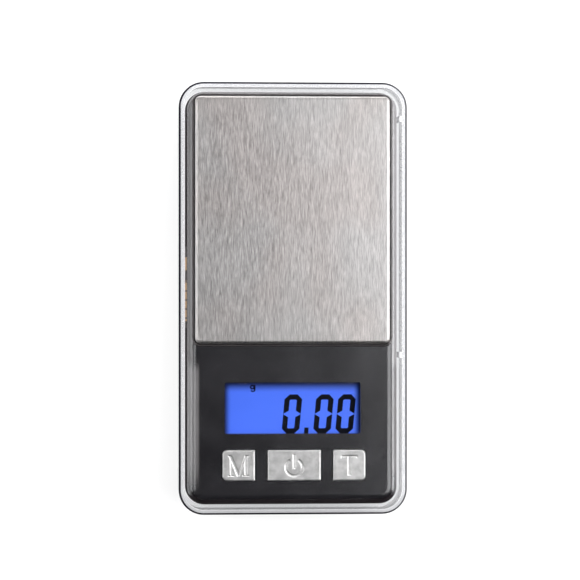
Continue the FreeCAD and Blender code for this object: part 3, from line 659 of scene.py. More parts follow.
@dataclass(frozen=True)
class BareMetal:
    """Turned, milled or plated metal with tool marks, stains and small dents."""

    name: str
    colour: Colour
    roughness: float = 0.28
    marks: float = 0.006
    stain: float = 0.25

    def material(self) -> Any:
        """Builds the node material.

        Returns:
            The material.
        """
        graph = Graph(self.name)
        tool = graph.noise(graph.stretched(9.0, 1.2, 2.0), 1.0, 3.0, 0.6)
        patch = graph.noise(graph.place, 220.0, 4.0, 0.6)
        tone = graph.blend(patch.rise(0.42, 0.68), toned(self.colour), toned(self.colour, 1 - self.stain))
        rough = self.roughness + (tool - 0.5) * 0.2 + (patch - 0.5) * 0.15
        return graph.finish(graph.principled(
            Base_Color=tone, Metallic=1.0, Roughness=rough.clamped(), Normal=graph.bump(tool, self.marks)))


@dataclass(frozen=True)
class SoftRubber:
    """Rubber or foam with open pores and a dusty bloom."""

    name: str
    colour: Colour
    roughness: float = 0.82
    pore: float = 0.03
    pore_scale: float = 3.0

    def material(self) -> Any:
        """Builds the node material.

        Returns:
            The material.
        """
        graph = Graph(self.name)
        pores = graph.noise(graph.place, self.pore_scale / MM, 3.0, 0.7)
        bloom = graph.noise(graph.place, 150.0, 3.0)
        tone = graph.blend(bloom.rise(0.45, 0.7) * 0.6, toned(self.colour), toned(self.colour, 1.4, 0.03))
        rough = self.roughness + (pores - 0.5) * 0.2
        return graph.finish(graph.principled(
            Base_Color=tone, Roughness=rough.clamped(), Normal=graph.bump(pores, self.pore)))


@dataclass(frozen=True)
class LitDisplay:
    """Blue-lit liquid crystal, with painted shade towards the edges of its window, widest along its far
    edge.
    """

    name: str
    colour: tuple[float, float, float, float]
    # Colour of the painted shade at the window's edges.
    shade: tuple[float, float, float, float]
    low: Pair
    high: Pair
    # Widths of the painted shade at the sides, the far edge and the near edge.
    side_shade: Pair = (-0.2, 1.9)
    top_shade: Pair = (0.0, 3.0)
    bottom_shade: Pair = (-1.2, 0.5)
    strength: float = 1.02

    def material(self) -> Any:
        """Builds the node material, with low and high as the window's corners.

        Returns:
            The material.
        """
        graph = Graph(self.name)
        across, along, _ = graph.axes()
        # Painted shade towards the window's edges, in the glow and in the base colour.
        sides = (across - self.low[0]).least(self.high[0] - across).rise(*self.side_shade)
        top = (self.high[1] - along).rise(*self.top_shade)
        bottom = (along - self.low[1]).rise(*self.bottom_shade)
        cloud = graph.noise(graph.stretched(0.06, 0.12, 0.1), 1.0, 2.0)
        lit = sides * top * bottom * (0.93 + cloud * 0.12)
        glow = graph.blend(lit.clamped(), self.shade, self.colour)
        return graph.finish(graph.principled(
            Base_Color=graph.blend(lit.clamped(), (0.002, 0.003, 0.02, 1.0), (0.01, 0.03, 0.16, 1.0)),
            Roughness=(0.25 + cloud * 0.1), Emission_Color=glow, Emission_Strength=self.strength))


@dataclass(frozen=True)
class LcdInk:
    """Darkened liquid crystal, nearly black with a breath of blue."""

    name: str

    def material(self) -> Any:
        """Builds the node material.

        Returns:
            The material.
        """
        graph = Graph(self.name)
        speck = graph.noise(graph.place, 6.0 / MM, 2.0)
        tone = graph.blend(speck, (0.001, 0.001, 0.004, 1.0), (0.004, 0.005, 0.012, 1.0))
        return graph.finish(graph.principled(Base_Color=tone, Roughness=(0.5 + speck * 0.2),
                                             Specular_IOR_Level=0.1))


@dataclass(frozen=True)
class BarLabel:
    """Dark label with gold bars of uneven length along its run."""

    name: str
    start: float
    long: float
    lower_bars: Pair = (0.08, 0.58)
    upper_bar: Pair = (0.71, 0.87)
    bars: float = 9.0
    gap: float = 0.16

    def material(self) -> Any:
        """Builds the node material, with start and long as the label's run along Y.

        Returns:
            The material.
        """
        graph = Graph(self.name)
        _, along, up = graph.axes()
        run = (along - self.start) / self.long
        worn = graph.noise(graph.place, 2.5 / MM, 3.0)
        lower = run.above(self.lower_bars[0]) * run.below(self.lower_bars[1])
        upper = run.above(self.upper_bar[0]) * run.below(self.upper_bar[1])
        splits = (run * self.bars).fraction().above(self.gap)
        gold = ((lower * splits).most(upper) * worn.rise(0.25, 0.40)).clamped()
        tone = graph.blend(gold, (0.022, 0.013, 0.011, 1.0), (0.54, 0.31, 0.13, 1.0))
        grain = (up * 3.0).fraction()
        return graph.finish(graph.principled(
            Base_Color=tone, Metallic=gold * 0.7, Roughness=(0.45 + worn * 0.2 - gold * 0.15),
            Normal=graph.bump(worn * 0.8 + grain * 0.2, 0.01)))


@dataclass(frozen=True)
class RuledLabel:
    """Silver-grey label stock with a printed border and plain rules instead of lettering."""

    name: str
    low: Pair
    high: Pair
    border: Pair = (1.2, 1.6)
    pitch: float = 3.2
    margin: float = 4.0

    def material(self) -> Any:
        """Builds the node material, with low and high as the label's corners.

        Returns:
            The material.
        """
        graph = Graph(self.name)
        across, along, _ = graph.axes()
        inset = (across - self.low[0]).least(self.high[0] - across).least(along - self.low[1])
        inset = inset.least(self.high[1] - along)
        border = inset.above(self.border[0]) * inset.below(self.border[1])
        rows = ((along - self.low[1]) / self.pitch).fraction().below(0.16)
        ragged = graph.noise(graph.stretched(0.0, 0.31, 0.0), 1.0, 0.0)
        length = (self.high[0] - self.margin) - ragged * 14.0
        rules = rows * across.above(self.low[0] + self.margin) * across.below(length) * inset.above(3.4)
        fibre = graph.noise(graph.place, 2.0 / MM, 4.0)
        ink = (border.most(rules) * fibre.rise(0.15, 0.35)).clamped()
        tone = graph.blend(ink, (0.55, 0.55, 0.54, 1.0), (0.03, 0.03, 0.035, 1.0))
        tone = graph.blend(fibre.rise(0.4, 0.7) * 0.12, tone, (0.40, 0.39, 0.37, 1.0))
        return graph.finish(graph.principled(
            Base_Color=tone, Metallic=0.2, Roughness=(0.42 + fibre * 0.2), Normal=graph.bump(fibre, 0.006)))


@dataclass(frozen=True)
class CircuitBoard:
    """Green solder mask over copper tracks, with tinned pads."""

    name: str
    lane: float = 1.1
    pad_pitch: float = 2.54

    def material(self) -> Any:
        """Builds the node material.

        Returns:
            The material.
        """
        graph = Graph(self.name)
        across, along, _ = graph.axes()
        bend = graph.noise(graph.stretched(0.12, 0.12, 0.0), 1.0, 0.0)
        lanes = ((across + (bend - 0.5) * 22.0) / self.lane).fraction()
        track = lanes.above(0.35) * lanes.below(0.62)
        grid_x = abs((across / self.pad_pitch).fraction() - 0.5)
        grid_y = abs((along / self.pad_pitch).fraction() - 0.5)
        spot = (grid_x * grid_x + grid_y * grid_y).below(0.018)
        chosen = graph.noise(graph.stretched(0.4, 0.4, 0.0), 1.0, 0.0).above(0.56)
        pad = spot * chosen
        weave = graph.noise(graph.place, 2.2 / MM, 2.0)
        tone = graph.blend(track, (0.006, 0.075, 0.030, 1.0), (0.015, 0.16, 0.06, 1.0))
        tone = graph.blend(pad, tone, (0.66, 0.65, 0.60, 1.0))
        return graph.finish(graph.principled(
            Base_Color=tone, Metallic=pad, Roughness=(0.28 + weave * 0.12),
            Normal=graph.bump(track * 0.5 + pad + weave * 0.08, 0.03)))


@dataclass(frozen=True)
class BatterySkin:
    """Printed film on a steel can: dark barrel, copper-coloured band and bare ends."""

    name: str
    toward: int
    nub_x: float = 21.6
    flat_x: float = -20.6
    band_x: float = 9.0
    rule: float = 0.8

    def material(self) -> Any:
        """Builds the node material, with toward as the sign of X that the nub points to.

        Returns:
            The material.
        """
        graph = Graph(self.name)
        across, _, _ = graph.axes()
        run = across * float(self.toward)
        wear = graph.noise(graph.stretched(0.6, 3.0, 3.0), 1.0, 4.0, 0.65)
        bare = run.above(self.nub_x).most(run.below(self.flat_x))
        band = run.above(self.band_x) * run.below(self.nub_x)
        rule = run.above(self.band_x - self.rule) * run.below(self.band_x)
        tone = graph.blend(band, (0.018, 0.018, 0.022, 1.0), (0.55, 0.27, 0.10, 1.0))
        tone = graph.blend(rule, tone, (0.75, 0.75, 0.72, 1.0))
        tone = graph.blend(bare, tone, (0.62, 0.62, 0.60, 1.0))
        rough = 0.30 + (wear - 0.5) * 0.25
        return graph.finish(graph.principled(
            Base_Color=tone, Metallic=(bare + band * 0.6).clamped(), Roughness=rough.clamped(),
            Normal=graph.bump(wear, 0.01)))


@dataclass(frozen=True)
class ZebraRubber:
    """Silicone strip with fine black conducting layers across its length."""

    name: str
    layer: float = 0.36

    def material(self) -> Any:
        """Builds the node material.

        Returns:
            The material.
        """
        graph = Graph(self.name)
        across, _, _ = graph.axes()
        layer = (across / self.layer).fraction()
        grain = graph.noise(graph.place, 5.0 / MM, 2.0)
        tone = graph.blend(layer.below(0.5), (0.60, 0.58, 0.55, 1.0), (0.02, 0.02, 0.02, 1.0))
        return graph.finish(graph.principled(
            Base_Color=tone, Roughness=(0.6 + grain * 0.2), Normal=graph.bump(layer.below(0.5), 0.02)))


@dataclass(frozen=True)
class StudioFloor:
    """Plain white sheet with a soft glow of its own like a light table, open to a look from below."""

    name: str
    colour: Colour = (0.36, 0.36, 0.36)
    glow: float = 0.68

    def material(self) -> Any:
        """Builds the node material.

        Returns:
            The material.
        """
        graph = Graph(self.name)
        patch = graph.noise(graph.place, 3.0, 2.0) * 0.1
        sheet = graph.principled(
            Base_Color=graph.blend(patch, toned(self.colour), toned(self.colour, 0.944)), Roughness=0.9,
            Emission_Color=graph.blend(patch, (1.0, 1.0, 1.0, 1.0), (0.97, 0.97, 0.97, 1.0)),
            Emission_Strength=self.glow, Specular_IOR_Level=0.1)
        below = graph.node("ShaderNodeNewGeometry").outputs["Backfacing"]
        clear = graph.node("ShaderNodeBsdfTransparent").outputs[0]
        return graph.finish(graph.mix_shaders(below, sheet, clear))


# ------------------------------------------------------------------ meshes

def dress(node: str, material: Any) -> None:
    """Gives a CAD node one material.

    Args:
        node: The node's name.
        material: Its material.
    """
    thing = bpy.data.objects[node]
    if not thing.data.materials:
        thing.data.materials.append(material)
    for slot in thing.material_slots:
        slot.link = "OBJECT"
        slot.material = material
    LOG.info("dressed %s", node)


def make_piece(name: str, points: Array, faces: Iterable[Sequence[int]], material: Any, body: Body,
               slot: str) -> bpy.types.Object:
    """Makes one piece and lets it ride on a CAD body.

    Args:
        name: The piece's name.
        points: Corner positions in millimetres, one row each.
        faces: Corner numbers of each face.
        material: Its material.
        body: The body it moves with.
        slot: The record's material slot; not used.

    Returns:
        The object.
    """
    mesh = bpy.data.meshes.new(name)
    mesh.from_pydata((np.asarray(points) * MM).tolist(), [], [list(map(int, f)) for f in faces])
    mesh.validate()
    mesh.update()
    mesh.materials.append(material)
    piece = bpy.data.objects.new(name, mesh)
    bpy.context.scene.collection.objects.link(piece)
    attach(piece, body.value)
    LOG.info("made %s with %d faces", name, len(mesh.polygons))
    return piece


def prism(outline: Array, low: float, high: float) -> Shape:
    """Stands a flat outline up between two heights.

    Args:
        outline: Corners in order, anticlockwise from above, one row of x and y each.
        low: Lower height.
        high: Upper height.

    Returns:
        The corner positions and the faces.
    """
    count = len(outline)
    lower = np.column_stack([outline, np.full(count, low)])
    upper = np.column_stack([outline, np.full(count, high)])
    ring = np.arange(count)
    after = (ring + 1) % count
    sides = np.column_stack([ring, after, after + count, ring + count]).tolist()
    return np.vstack([lower, upper]), [list(ring[::-1]), list(ring + count), *sides]


def joined(parts: Sequence[Shape]) -> Shape:
    """Puts several meshes into one list of corners and faces.

    Args:
        parts: Corner positions and faces of each.

    Returns:
        The joined corners and faces.
    """
    starts = np.cumsum([0] + [len(points) for points, _ in parts])
    faces = [[corner + int(start) for corner in face]
             for start, (_, own) in zip(starts, parts) for face in own]
    return np.vstack([points for points, _ in parts]), faces


def grid_faces(rows: int, columns: int) -> Array:
    """Quads of a grid of points: a point's number is its row times the columns, plus its column.

    Args:
        rows: How many rows of points.
        columns: How many points in a row.

    Returns:
        One row of four corner numbers for each quad.
    """
    row, column = np.meshgrid(np.arange(rows - 1), np.arange(columns - 1), indexing="ij")
    here = row * columns + column
    return np.stack([here, here + 1, here + 1 + columns, here + columns], axis=-1).reshape(-1, 4)


def rounded_outline(half_x: float, half_y: float, corners: Sequence[float], steps: int = 8) -> Array:
    """Rectangle about the origin whose four corners are quarter circles of their own radius.

    A point of a quarter circle is its centre plus the radius times the cosine and sine of its angle.

    Args:
        half_x: Half its width.
        half_y: Half its length.
        corners: Radii at right-top, left-top, left-bottom and right-bottom.
        steps: Points on each quarter circle.

    Returns:
        Points in anticlockwise order.
    """
    arcs = []
    signs = ((1, 1), (-1, 1), (-1, -1), (1, -1))
    for k, ((sx, sy), radius) in enumerate(zip(signs, corners)):
        turn = np.linspace(k * math.pi / 2, (k + 1) * math.pi / 2, steps)
        centre = np.array([sx * (half_x - radius), sy * (half_y - radius)])
        arcs.append(centre + radius * np.column_stack([np.cos(turn), np.sin(turn)]))
    return np.vstack(arcs)


def ring_part(start: float, stop: float, centre: Pair, outer: Pair, inner: Pair) -> Array:
    """Part of an oval ring: a point is the centre plus the half widths times cosine and sine.

    Args:
        start: First angle in degrees.
        stop: Last angle in degrees.
        centre: The oval's middle.
        outer: Half width and half height outside.
        inner: Half width and half height of the hole.

    Returns:
        The outline in anticlockwise order.
    """
    turn = np.radians(np.linspace(start, stop, 10))
    circle = np.column_stack([np.cos(turn), np.sin(turn)])
    return np.vstack([circle * outer, (circle * inner)[::-1]]) + centre


# ------------------------------------------------------------------ sub-assemblies

@dataclass
class DustCover:
    """The clear box over the scale."""

    roll: float = 2.0
    draft: float = math.radians(0.8)
    corner: float = 7.0

    def build(self) -> None:
        """Dresses the cover; its walls lean in by the draft up to where the roof's roll starts."""
        low, high = node_box("dust_cover")
        roll_z = float(high[2]) - self.roll
        lean = (roll_z - float(low[2])) * math.tan(self.draft)
        half = (high - low) / 2 - lean
        outline = RoofOutline(float(half[0]), float(half[1]), self.corner - lean, roll_z)
        # The outline places the painted shade and painted grey band of the roof's roll.
        dress("dust_cover", ClearPlastic("clear_polystyrene", outline=outline).material())


@dataclass
class Casing:
    """Both black shells, the feet, the labels and the case screws."""

    # The upper shell's rim carries a painted highlight and painted shade.
    shell: MouldedPlastic = MouldedPlastic(
        "black_abs", (0.0078, 0.0071, 0.0092), roughness=0.24, grain=0.004, index=1.9,
        rim=PaintedRimLight())
    lower: MouldedPlastic = MouldedPlastic(
        "black_abs_lower", (0.0085, 0.0085, 0.0095), roughness=0.42, grain=0.015, specular=0.2)
    rubber: SoftRubber = SoftRubber("foot_rubber", (0.03, 0.03, 0.03))
    steel: BareMetal = BareMetal("zinc_screws", (0.46, 0.46, 0.48))

    def build(self) -> None:
        """Dresses the shells and what is fixed to them."""
        lower = self.lower.material()
        dress("upper_casing", self.shell.material())
        dress("base_shell", lower)
        dress("battery_door", lower)
        dress("rubber_feet", self.rubber.material())
        steel = self.steel.material()
        for node in ("case_screws", "overload_stop_screw"):
            dress(node, steel)
        low, high = node_box("side_label")
        dress("side_label", BarLabel("gold_bar_label", float(low[1]), float(high[1] - low[1])).material())
        low, high = node_box("rating_label")
        label = RuledLabel("ruled_label", tuple(map(float, low[:2])), tuple(map(float, high[:2])))
        dress("rating_label", label.material())


@dataclass
class Platform:
    """The steel weighing plate and what carries it."""

    plate: BrushedSteel = BrushedSteel("brushed_plate")
    tray: MouldedPlastic = MouldedPlastic(
        "grey_tray", (0.09, 0.09, 0.095), roughness=0.5)
    tape: SoftRubber = SoftRubber("foam_tape", (0.6, 0.6, 0.57), pore=0.06)
    steel: BareMetal = BareMetal("tray_screws", (0.46, 0.46, 0.48))

    def build(self) -> None:
        """Dresses the plate, the tray, the tape and the screws."""
        dress("platform_plate", self.plate.material())
        dress("platform_carrier", self.tray.material())
        dress("plate_tape", self.tape.material())
        dress("cell_tray_screws", self.steel.material())


@dataclass
class LoadCell:
    """The bending beam with its gauges, screws and wires."""

    beam: BareMetal = BareMetal(
        "milled_aluminium", (0.78, 0.78, 0.79), roughness=0.3, stain=0.1)
    foil: MouldedPlastic = MouldedPlastic(
        "gauge_foil", (0.50, 0.26, 0.05), roughness=0.3, spread=0.3)
    steel: BareMetal = BareMetal("cell_screws", (0.46, 0.46, 0.48))
    wire: MouldedPlastic = MouldedPlastic(
        "grey_insulation", (0.32, 0.32, 0.34), roughness=0.35)

    def build(self) -> None:
        """Dresses the cell."""
        dress("load_cell_beam", self.beam.material())
        dress("strain_gauges", self.foil.material())
        dress("cell_base_screws", self.steel.material())
        dress("cell_leads", self.wire.material())


@dataclass
class Display:
    """The liquid-crystal panel with its lit ground, its digits and its clear lens."""

    window_width: float = 36.8
    window_length: float = 13.9
    window_y: float = -29.65
    digit_width: float = 4.76
    digit_high: float = 10.6
    stroke: float = 1.40
    chamfer: float = 1.30
    gap: float = 0.12
    slant: float = math.radians(5.3)
    digit_x: tuple[float, ...] = (-0.02, 8.55, 14.58)
    digit_low_y: float = -36.72
    point_x: float = 4.3
    point_width: float = 1.15
    point_high: float = 1.6
    unit_x: float = -10.7
    unit_y: float = -24.45
    sunk: float = 0.12
    ink_foot: float = 0.10
    ink_top: float = 0.02
    lens: ClearPlastic = ClearPlastic(
        "window_lens", tint=(0.995, 0.995, 0.998))

    def _slanted(self, outline: Sequence[Pair], middle: float) -> Array:
        """Leans an outline forward about mid height: x grows by the height over it times tan(slant).

        Args:
            outline: Corners of x and y about the digit's foot.
            middle: Where the digit stands along X.

        Returns:
            The placed corners, one row each.
        """
        points = np.array(outline, dtype=float)
        lean = (points[:, 1] - self.digit_high / 2) * math.tan(self.slant)
        return np.column_stack([points[:, 0] + lean + middle, points[:, 1] + self.digit_low_y])

    def _halves(self) -> list[list[Pair]]:
        """The two lit halves of a nought: open hooks with cut corners whose tips taper at mid height.

        Returns:
            One outline for each half, about x = 0 with its foot at y = 0, anticlockwise.
        """
        half, high, cut = self.digit_width / 2, self.digit_high, self.chamfer
        inner, roof, middle = half - self.stroke, high - self.stroke, high / 2
        tip, notch, bend = middle + self.gap / 2, middle + 0.62 * self.stroke, 0.16 * self.stroke
        upper = [(half, tip), (half, high - cut), (half - cut, high), (-half + cut, high),
                 (-half, high - cut), (-half, tip), (-inner, notch), (-inner, roof - bend),
                 (-inner + bend, roof), (inner - bend, roof), (inner, roof - bend), (inner, notch)]
        lower = [(x, high - y) for x, y in upper][::-1]
        return [upper, lower]

    def _digits(self, low: float, high: float) -> Shape:
        """All the noughts and the decimal point.

        Args:
            low: Lower height.
            high: Upper height.

        Returns:
            The corner positions and the faces.
        """
        parts = [prism(self._slanted(outline, middle), low, high)
                 for middle in self.digit_x for outline in self._halves()]
        half, tall = self.point_width / 2, self.point_high
        point = [(-half, 0.0), (half, 0.0), (half, tall), (-half, tall)]
        parts.append(prism(self._slanted(point, self.point_x), low, high))
        return joined(parts)

    def _unit_sign(self, low: float, high: float) -> Shape:
        """A bold letter g for grams: a round bowl, a straight stem and an open hook below.

        The bowl is two half rings, so that its hole stays open.

        Args:
            low: Lower height.
            high: Upper height.

        Returns:
            The corner positions and the faces.
        """
        centre, bowl, hole = (-0.09, 0.33), (0.66, 0.64), (0.27, 0.27)
        outlines = [
            ring_part(0, 180, centre, bowl, hole), ring_part(180, 360, centre, bowl, hole),
            np.array([(0.36, -0.45), (0.76, -0.45), (0.76, 0.97), (0.36, 0.97)]),
            ring_part(200, 360, (0.03, -0.42), (0.73, 0.56), (0.34, 0.20)),
        ]
        place = np.array([self.unit_x, self.unit_y])
        return joined([prism(outline + place, low, high) for outline in outlines])

    def build(self) -> None:
        """Makes the lit ground, the digits and the unit sign, and dresses the lens and the frame."""
        low, high = node_box("lcd_panel")
        half, middle = (high - low) / 2, (high + low) / 2
        half_window = (self.window_width / 2, self.window_length / 2)
        # The lit ground carries painted shade at the window's edges.
        lit = LitDisplay("blue_backlit_crystal", linear(77, 119, 252), linear(2, 4, 16),
                         (-half_window[0], self.window_y - half_window[1]),
                         (half_window[0], self.window_y + half_window[1]))
        ground = rounded_outline(half[0], half[1], (0.15,) * 4, 4) + middle[:2]
        panel = make_piece("lcd_glass", *prism(ground, low[2], high[2] - self.sunk), lit.material(),
                           Body.CASING, "display_glass")
        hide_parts("lcd_panel")
        ink = LcdInk("dark_crystal").material()
        foot, top = high[2] - self.ink_foot, high[2] - self.ink_top
        for name, shape in (("lcd_digits", self._digits), ("lcd_unit_sign", self._unit_sign)):
            make_piece(name, *shape(foot, top), ink, Body.CASING, "display_glass")
        dress("display_window", self.lens.material())
        dress("lcd_frame", MouldedPlastic("white_frame", (0.62, 0.62, 0.60), roughness=0.45).material())
        dress("backlight", MouldedPlastic("light_guide", (0.30, 0.48, 0.90), roughness=0.15).material())
        dress("backlight_led", MouldedPlastic("led_package", (0.75, 0.75, 0.60), roughness=0.3).material())
        dress("zebra_strip", ZebraRubber("zebra_silicone").material())


@dataclass(frozen=True)
class Stroke:
    """Straight bar of one width in a key's engraved sign."""

    start: Pair
    end: Pair
    width: float

    def distance(self, x: Array, y: Array) -> Array:
        """Signed distance to the bar: the larger of the ways past its ends and its sides.

        Args:
            x: Positions across.
            y: Positions along.

        Returns:
            Negative inside, positive outside.
        """
        run = np.subtract(self.end, self.start)
        length = float(np.hypot(*run))
        ahead = run / length
        dx, dy = x - (self.start[0] + self.end[0]) / 2, y - (self.start[1] + self.end[1]) / 2
        forward, aside = dx * ahead[0] + dy * ahead[1], dy * ahead[0] - dx * ahead[1]
        return np.maximum(np.abs(forward) - length / 2, np.abs(aside) - self.width / 2)


@dataclass(frozen=True)
class Ring:
    """Round stroke, open at the top by the half angle opening, where a bar passes through."""

    centre: Pair
    radius: float
    width: float
    opening: float

    def distance(self, x: Array, y: Array) -> Array:
        """Signed distance to the ring, with the opening taken out.

        The ring's is how far the distance to the centre is from the radius, less half the width. The
        opening's is the height times the cosine, less the width over the tangent times the cosine.

        Args:
            x: Positions across.
            y: Positions along.

        Returns:
            Negative inside, positive outside.
        """
        dx, dy = x - self.centre[0], y - self.centre[1]
        band = np.abs(np.hypot(dx, dy) - self.radius) - self.width / 2
        wedge = (dy - np.abs(dx) / math.tan(self.opening)) * math.cos(self.opening)
        return np.maximum(band, wedge)


@dataclass
class KeyCap:
    """One key with its sign pressed into its face."""

    legend: Legend
    body: Body
    corners: tuple[float, float, float, float]
    flange: float = 0.55
    flange_corner: float = 0.8
    flange_low: float = 1.0
    flange_high: float = 1.8
    skirt_low: float = 1.75
    stem_radius: float = 1.5
    stem_high: float = 1.1
    step: float = 0.055
    depth: float = 0.24
    reach: float = 0.14
    slope: float = 0.34
    edge: float = 0.36
    crown: float = 0.62
    pull: float = 1.42
    sharp: float = math.radians(50)

    def _strokes(self) -> list[Stroke | Ring]:
        """The strokes of the sign.

        Returns:
            Strokes and rings about the key's middle.
        """
        if self.legend is Legend.MODE:
            foot, head, left, right = -2.75, 2.55, -2.05, 1.95
            serifs = ((left - 0.75, left + 0.70, foot), (right - 0.85, right + 0.85, foot),
                      (left - 0.75, left + 0.25, head), (right - 0.25, right + 0.85, head))
            bars = [Stroke((left, foot), (left, head), 0.42), Stroke((right, foot), (right, head), 0.70),
                    Stroke((left - 0.15, head), (0.0, foot), 0.80), Stroke((0.0, foot), (right, head), 0.40)]
            return bars + [Stroke((start, level), (end, level), 0.34) for start, end, level in serifs]
        if self.legend is Legend.POWER:
            return [Ring((0.0, -0.55), 2.25, 0.66, math.radians(30)), Stroke((0.0, -0.95), (0.0, 3.0), 0.66)]
        return [Stroke((-2.15, 2.45), (2.15, 2.45), 0.46), Stroke((0.0, -2.75), (0.0, 2.45), 0.85),
                Stroke((-2.08, 1.95), (-2.08, 2.45), 0.28), Stroke((2.08, 1.95), (2.08, 2.45), 0.28)]

    def _inside(self, x: Array, y: Array, half: Array) -> Array:
        """How far inside the cap's outline a point lies, with each corner's own radius.

        Args:
            x: Positions across.
            y: Positions along.
            half: Half the cap's width and length.

        Returns:
            The radius less the way past its centre, or less the larger of the ways to the sides.
        """
        right_top, left_top, left_low, right_low = self.corners
        radius = np.where(x > 0, np.where(y > 0, right_top, right_low), np.where(y > 0, left_top, left_low))
        over_x = np.abs(x) - (half[0] - radius)
        over_y = np.abs(y) - (half[1] - radius)
        past = np.hypot(np.maximum(over_x, 0), np.maximum(over_y, 0))
        return radius - past - np.minimum(np.maximum(over_x, over_y), 0)

    def _face(self, half: Array, top: float) -> tuple[Array, int, int]:
        """The cap's face: a plain grid of x and y with the sign pressed in and its rim rounded.

        A point past a rounded corner moves towards the middle by pull times its way outside. The height is
        the top, less depth times a smooth step of the distance to the sign, less crown times a quarter
        circle's fall within edge of the rim.

        Args:
            half: Half the cap's width and length.
            top: The height of the face.

        Returns:
            The points about the key's middle, and how many rows and columns they form.
        """
        columns, rows = (int(round(2 * size / self.step)) + 1 for size in half)
        u, v = np.meshgrid(np.linspace(-half[0], half[0], columns), np.linspace(-half[1], half[1], rows))
        inside = self._inside(u, v, half)
        scale = 1 + np.minimum(inside, 0) * self.pull / np.maximum(np.hypot(u, v), 1e-9)
        x, y = u * scale, v * scale
        distance = np.min([stroke.distance(x, y) for stroke in self._strokes()], axis=0)
        press = np.clip((self.reach - distance) / self.slope, 0, 1)
        press = press * press * (3 - 2 * press)
        fall = np.clip(1 - np.maximum(inside, 0) / self.edge, 0, 1)
        rim = self.edge * (1 - np.sqrt(np.maximum(1 - fall * fall, 0)))
        height = top - self.depth * press - rim * self.crown
        return np.column_stack([x.ravel(), y.ravel(), height.ravel()]), rows, columns

    def _cap(self, half: Array, low: float, top: float) -> Shape:
        """The face with straight skirts down from its border and a flat closing below.

        Args:
            half: Half the cap's width and length.
            low: The key's lowest height.
            top: The height of the face.

        Returns:
            The corner positions about the key's middle, and the faces.
        """
        points, rows, columns = self._face(half, top)
        border = np.concatenate([
            np.arange(columns), np.arange(1, rows) * columns + columns - 1,
            (rows - 1) * columns + np.arange(columns - 2, -1, -1), np.arange(rows - 2, 0, -1) * columns])
        skirt = points[border].copy()
        skirt[:, 2] = low + self.skirt_low
        ring = np.arange(len(border))
        after = (ring + 1) % len(border)
        start = len(points)
        sides = np.column_stack([border[ring], start + ring, start + after, border[after]])
        faces = [*grid_faces(rows, columns).tolist(), *sides.tolist(), list((start + ring)[::-1])]
        return np.vstack([points, skirt]), faces

    def build(self, material: Any) -> None:
        """Makes the cap with the flange that holds it in and the stem that meets its switch.

        Args:
            material: The key's finish.
        """
        node = f"{self.legend.value}_key"
        low, high = node_box(node)
        middle = ((low + high) / 2)[:2]
        half = ((high - low) / 2)[:2] - self.flange
        cap, faces = self._cap(half, float(low[2]), float(high[2]))
        cap[:, :2] += middle
        flange = rounded_outline(*(half + self.flange), (self.flange_corner,) * 4) + middle
        turn = np.linspace(0, 2 * math.pi, 33)[:-1]
        stem = np.column_stack([np.cos(turn), np.sin(turn)]) * self.stem_radius + middle
        parts = [(cap, faces), prism(flange, low[2] + self.flange_low, low[2] + self.flange_high),
                 prism(stem, low[2], low[2] + self.stem_high)]
        piece = make_piece(f"{self.legend.value}_key_cap", *joined(parts), material, self.body, "satin_key")
        piece.data.polygons.foreach_set("use_smooth", np.ones(len(piece.data.polygons), dtype=bool))
        piece.data.set_sharp_from_angle(angle=self.sharp)
        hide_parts(node)


@dataclass
class Keypad:
    """The three keys, their switches and plungers."""

    finish: SatinKeyMetal = SatinKeyMetal("satin_plating")
    round_corner: float = 1.25
    square_corner: float = 0.22

    def build(self) -> None:
        """Makes the caps and dresses the switches."""
        material = self.finish.material()
        wide, tight = self.round_corner, self.square_corner
        KeyCap(Legend.MODE, Body.MODE, (tight, wide, wide, tight)).build(material)
        KeyCap(Legend.POWER, Body.POWER, (tight,) * 4).build(material)
        KeyCap(Legend.TARE, Body.TARE, (wide, tight, tight, wide)).build(material)
        dress("key_switches", MouldedPlastic("switch_case", (0.03, 0.03, 0.03), roughness=0.4).material())
        nylon = MouldedPlastic("switch_plunger", (0.05, 0.05, 0.05), roughness=0.5).material()
        for legend in Legend:
            dress(f"{legend.value}_plunger", nylon)


@dataclass
class Electronics:
    """The board and what is soldered to it."""

    def build(self) -> None:
        """Dresses the board and its parts."""
        dress("main_board", CircuitBoard("green_board").material())
        resin = MouldedPlastic("black_resin", (0.012, 0.012, 0.013), roughness=0.25, grain=0.03)
        dress("controller_chip", resin.material())
        dress("board_components", MouldedPlastic("part_moulding", (0.02, 0.02, 0.022), 0.45).material())
        dress("board_screws", BareMetal("board_screw_steel", (0.5, 0.49, 0.47)).material())


@dataclass
class PowerPack:
    """The two cells, their contacts and their leads."""

    def build(self) -> None:
        """Dresses the cells, contacts, springs and leads."""
        dress("battery_near", BatterySkin("cell_film_left", -1).material())
        dress("battery_far", BatterySkin("cell_film_right", 1).material())
        nickel = BareMetal("nickel_spring", (0.70, 0.69, 0.65), roughness=0.18).material()
        for node in ("contact_springs", "link_contact", "negative_contact", "positive_contact"):
            dress(node, nickel)
        red = MouldedPlastic("red_insulation", (0.45, 0.012, 0.010), roughness=0.3)
        black = MouldedPlastic("black_insulation", (0.012, 0.012, 0.013), roughness=0.3)
        dress("battery_lead_red", red.material())
        dress("battery_lead_black", black.material())


@dataclass(frozen=True)
class SoftBox:
    """One rectangular lamp: its place and size in metres, its power in watts."""

    name: str
    place: Point
    size: Pair
    power: float


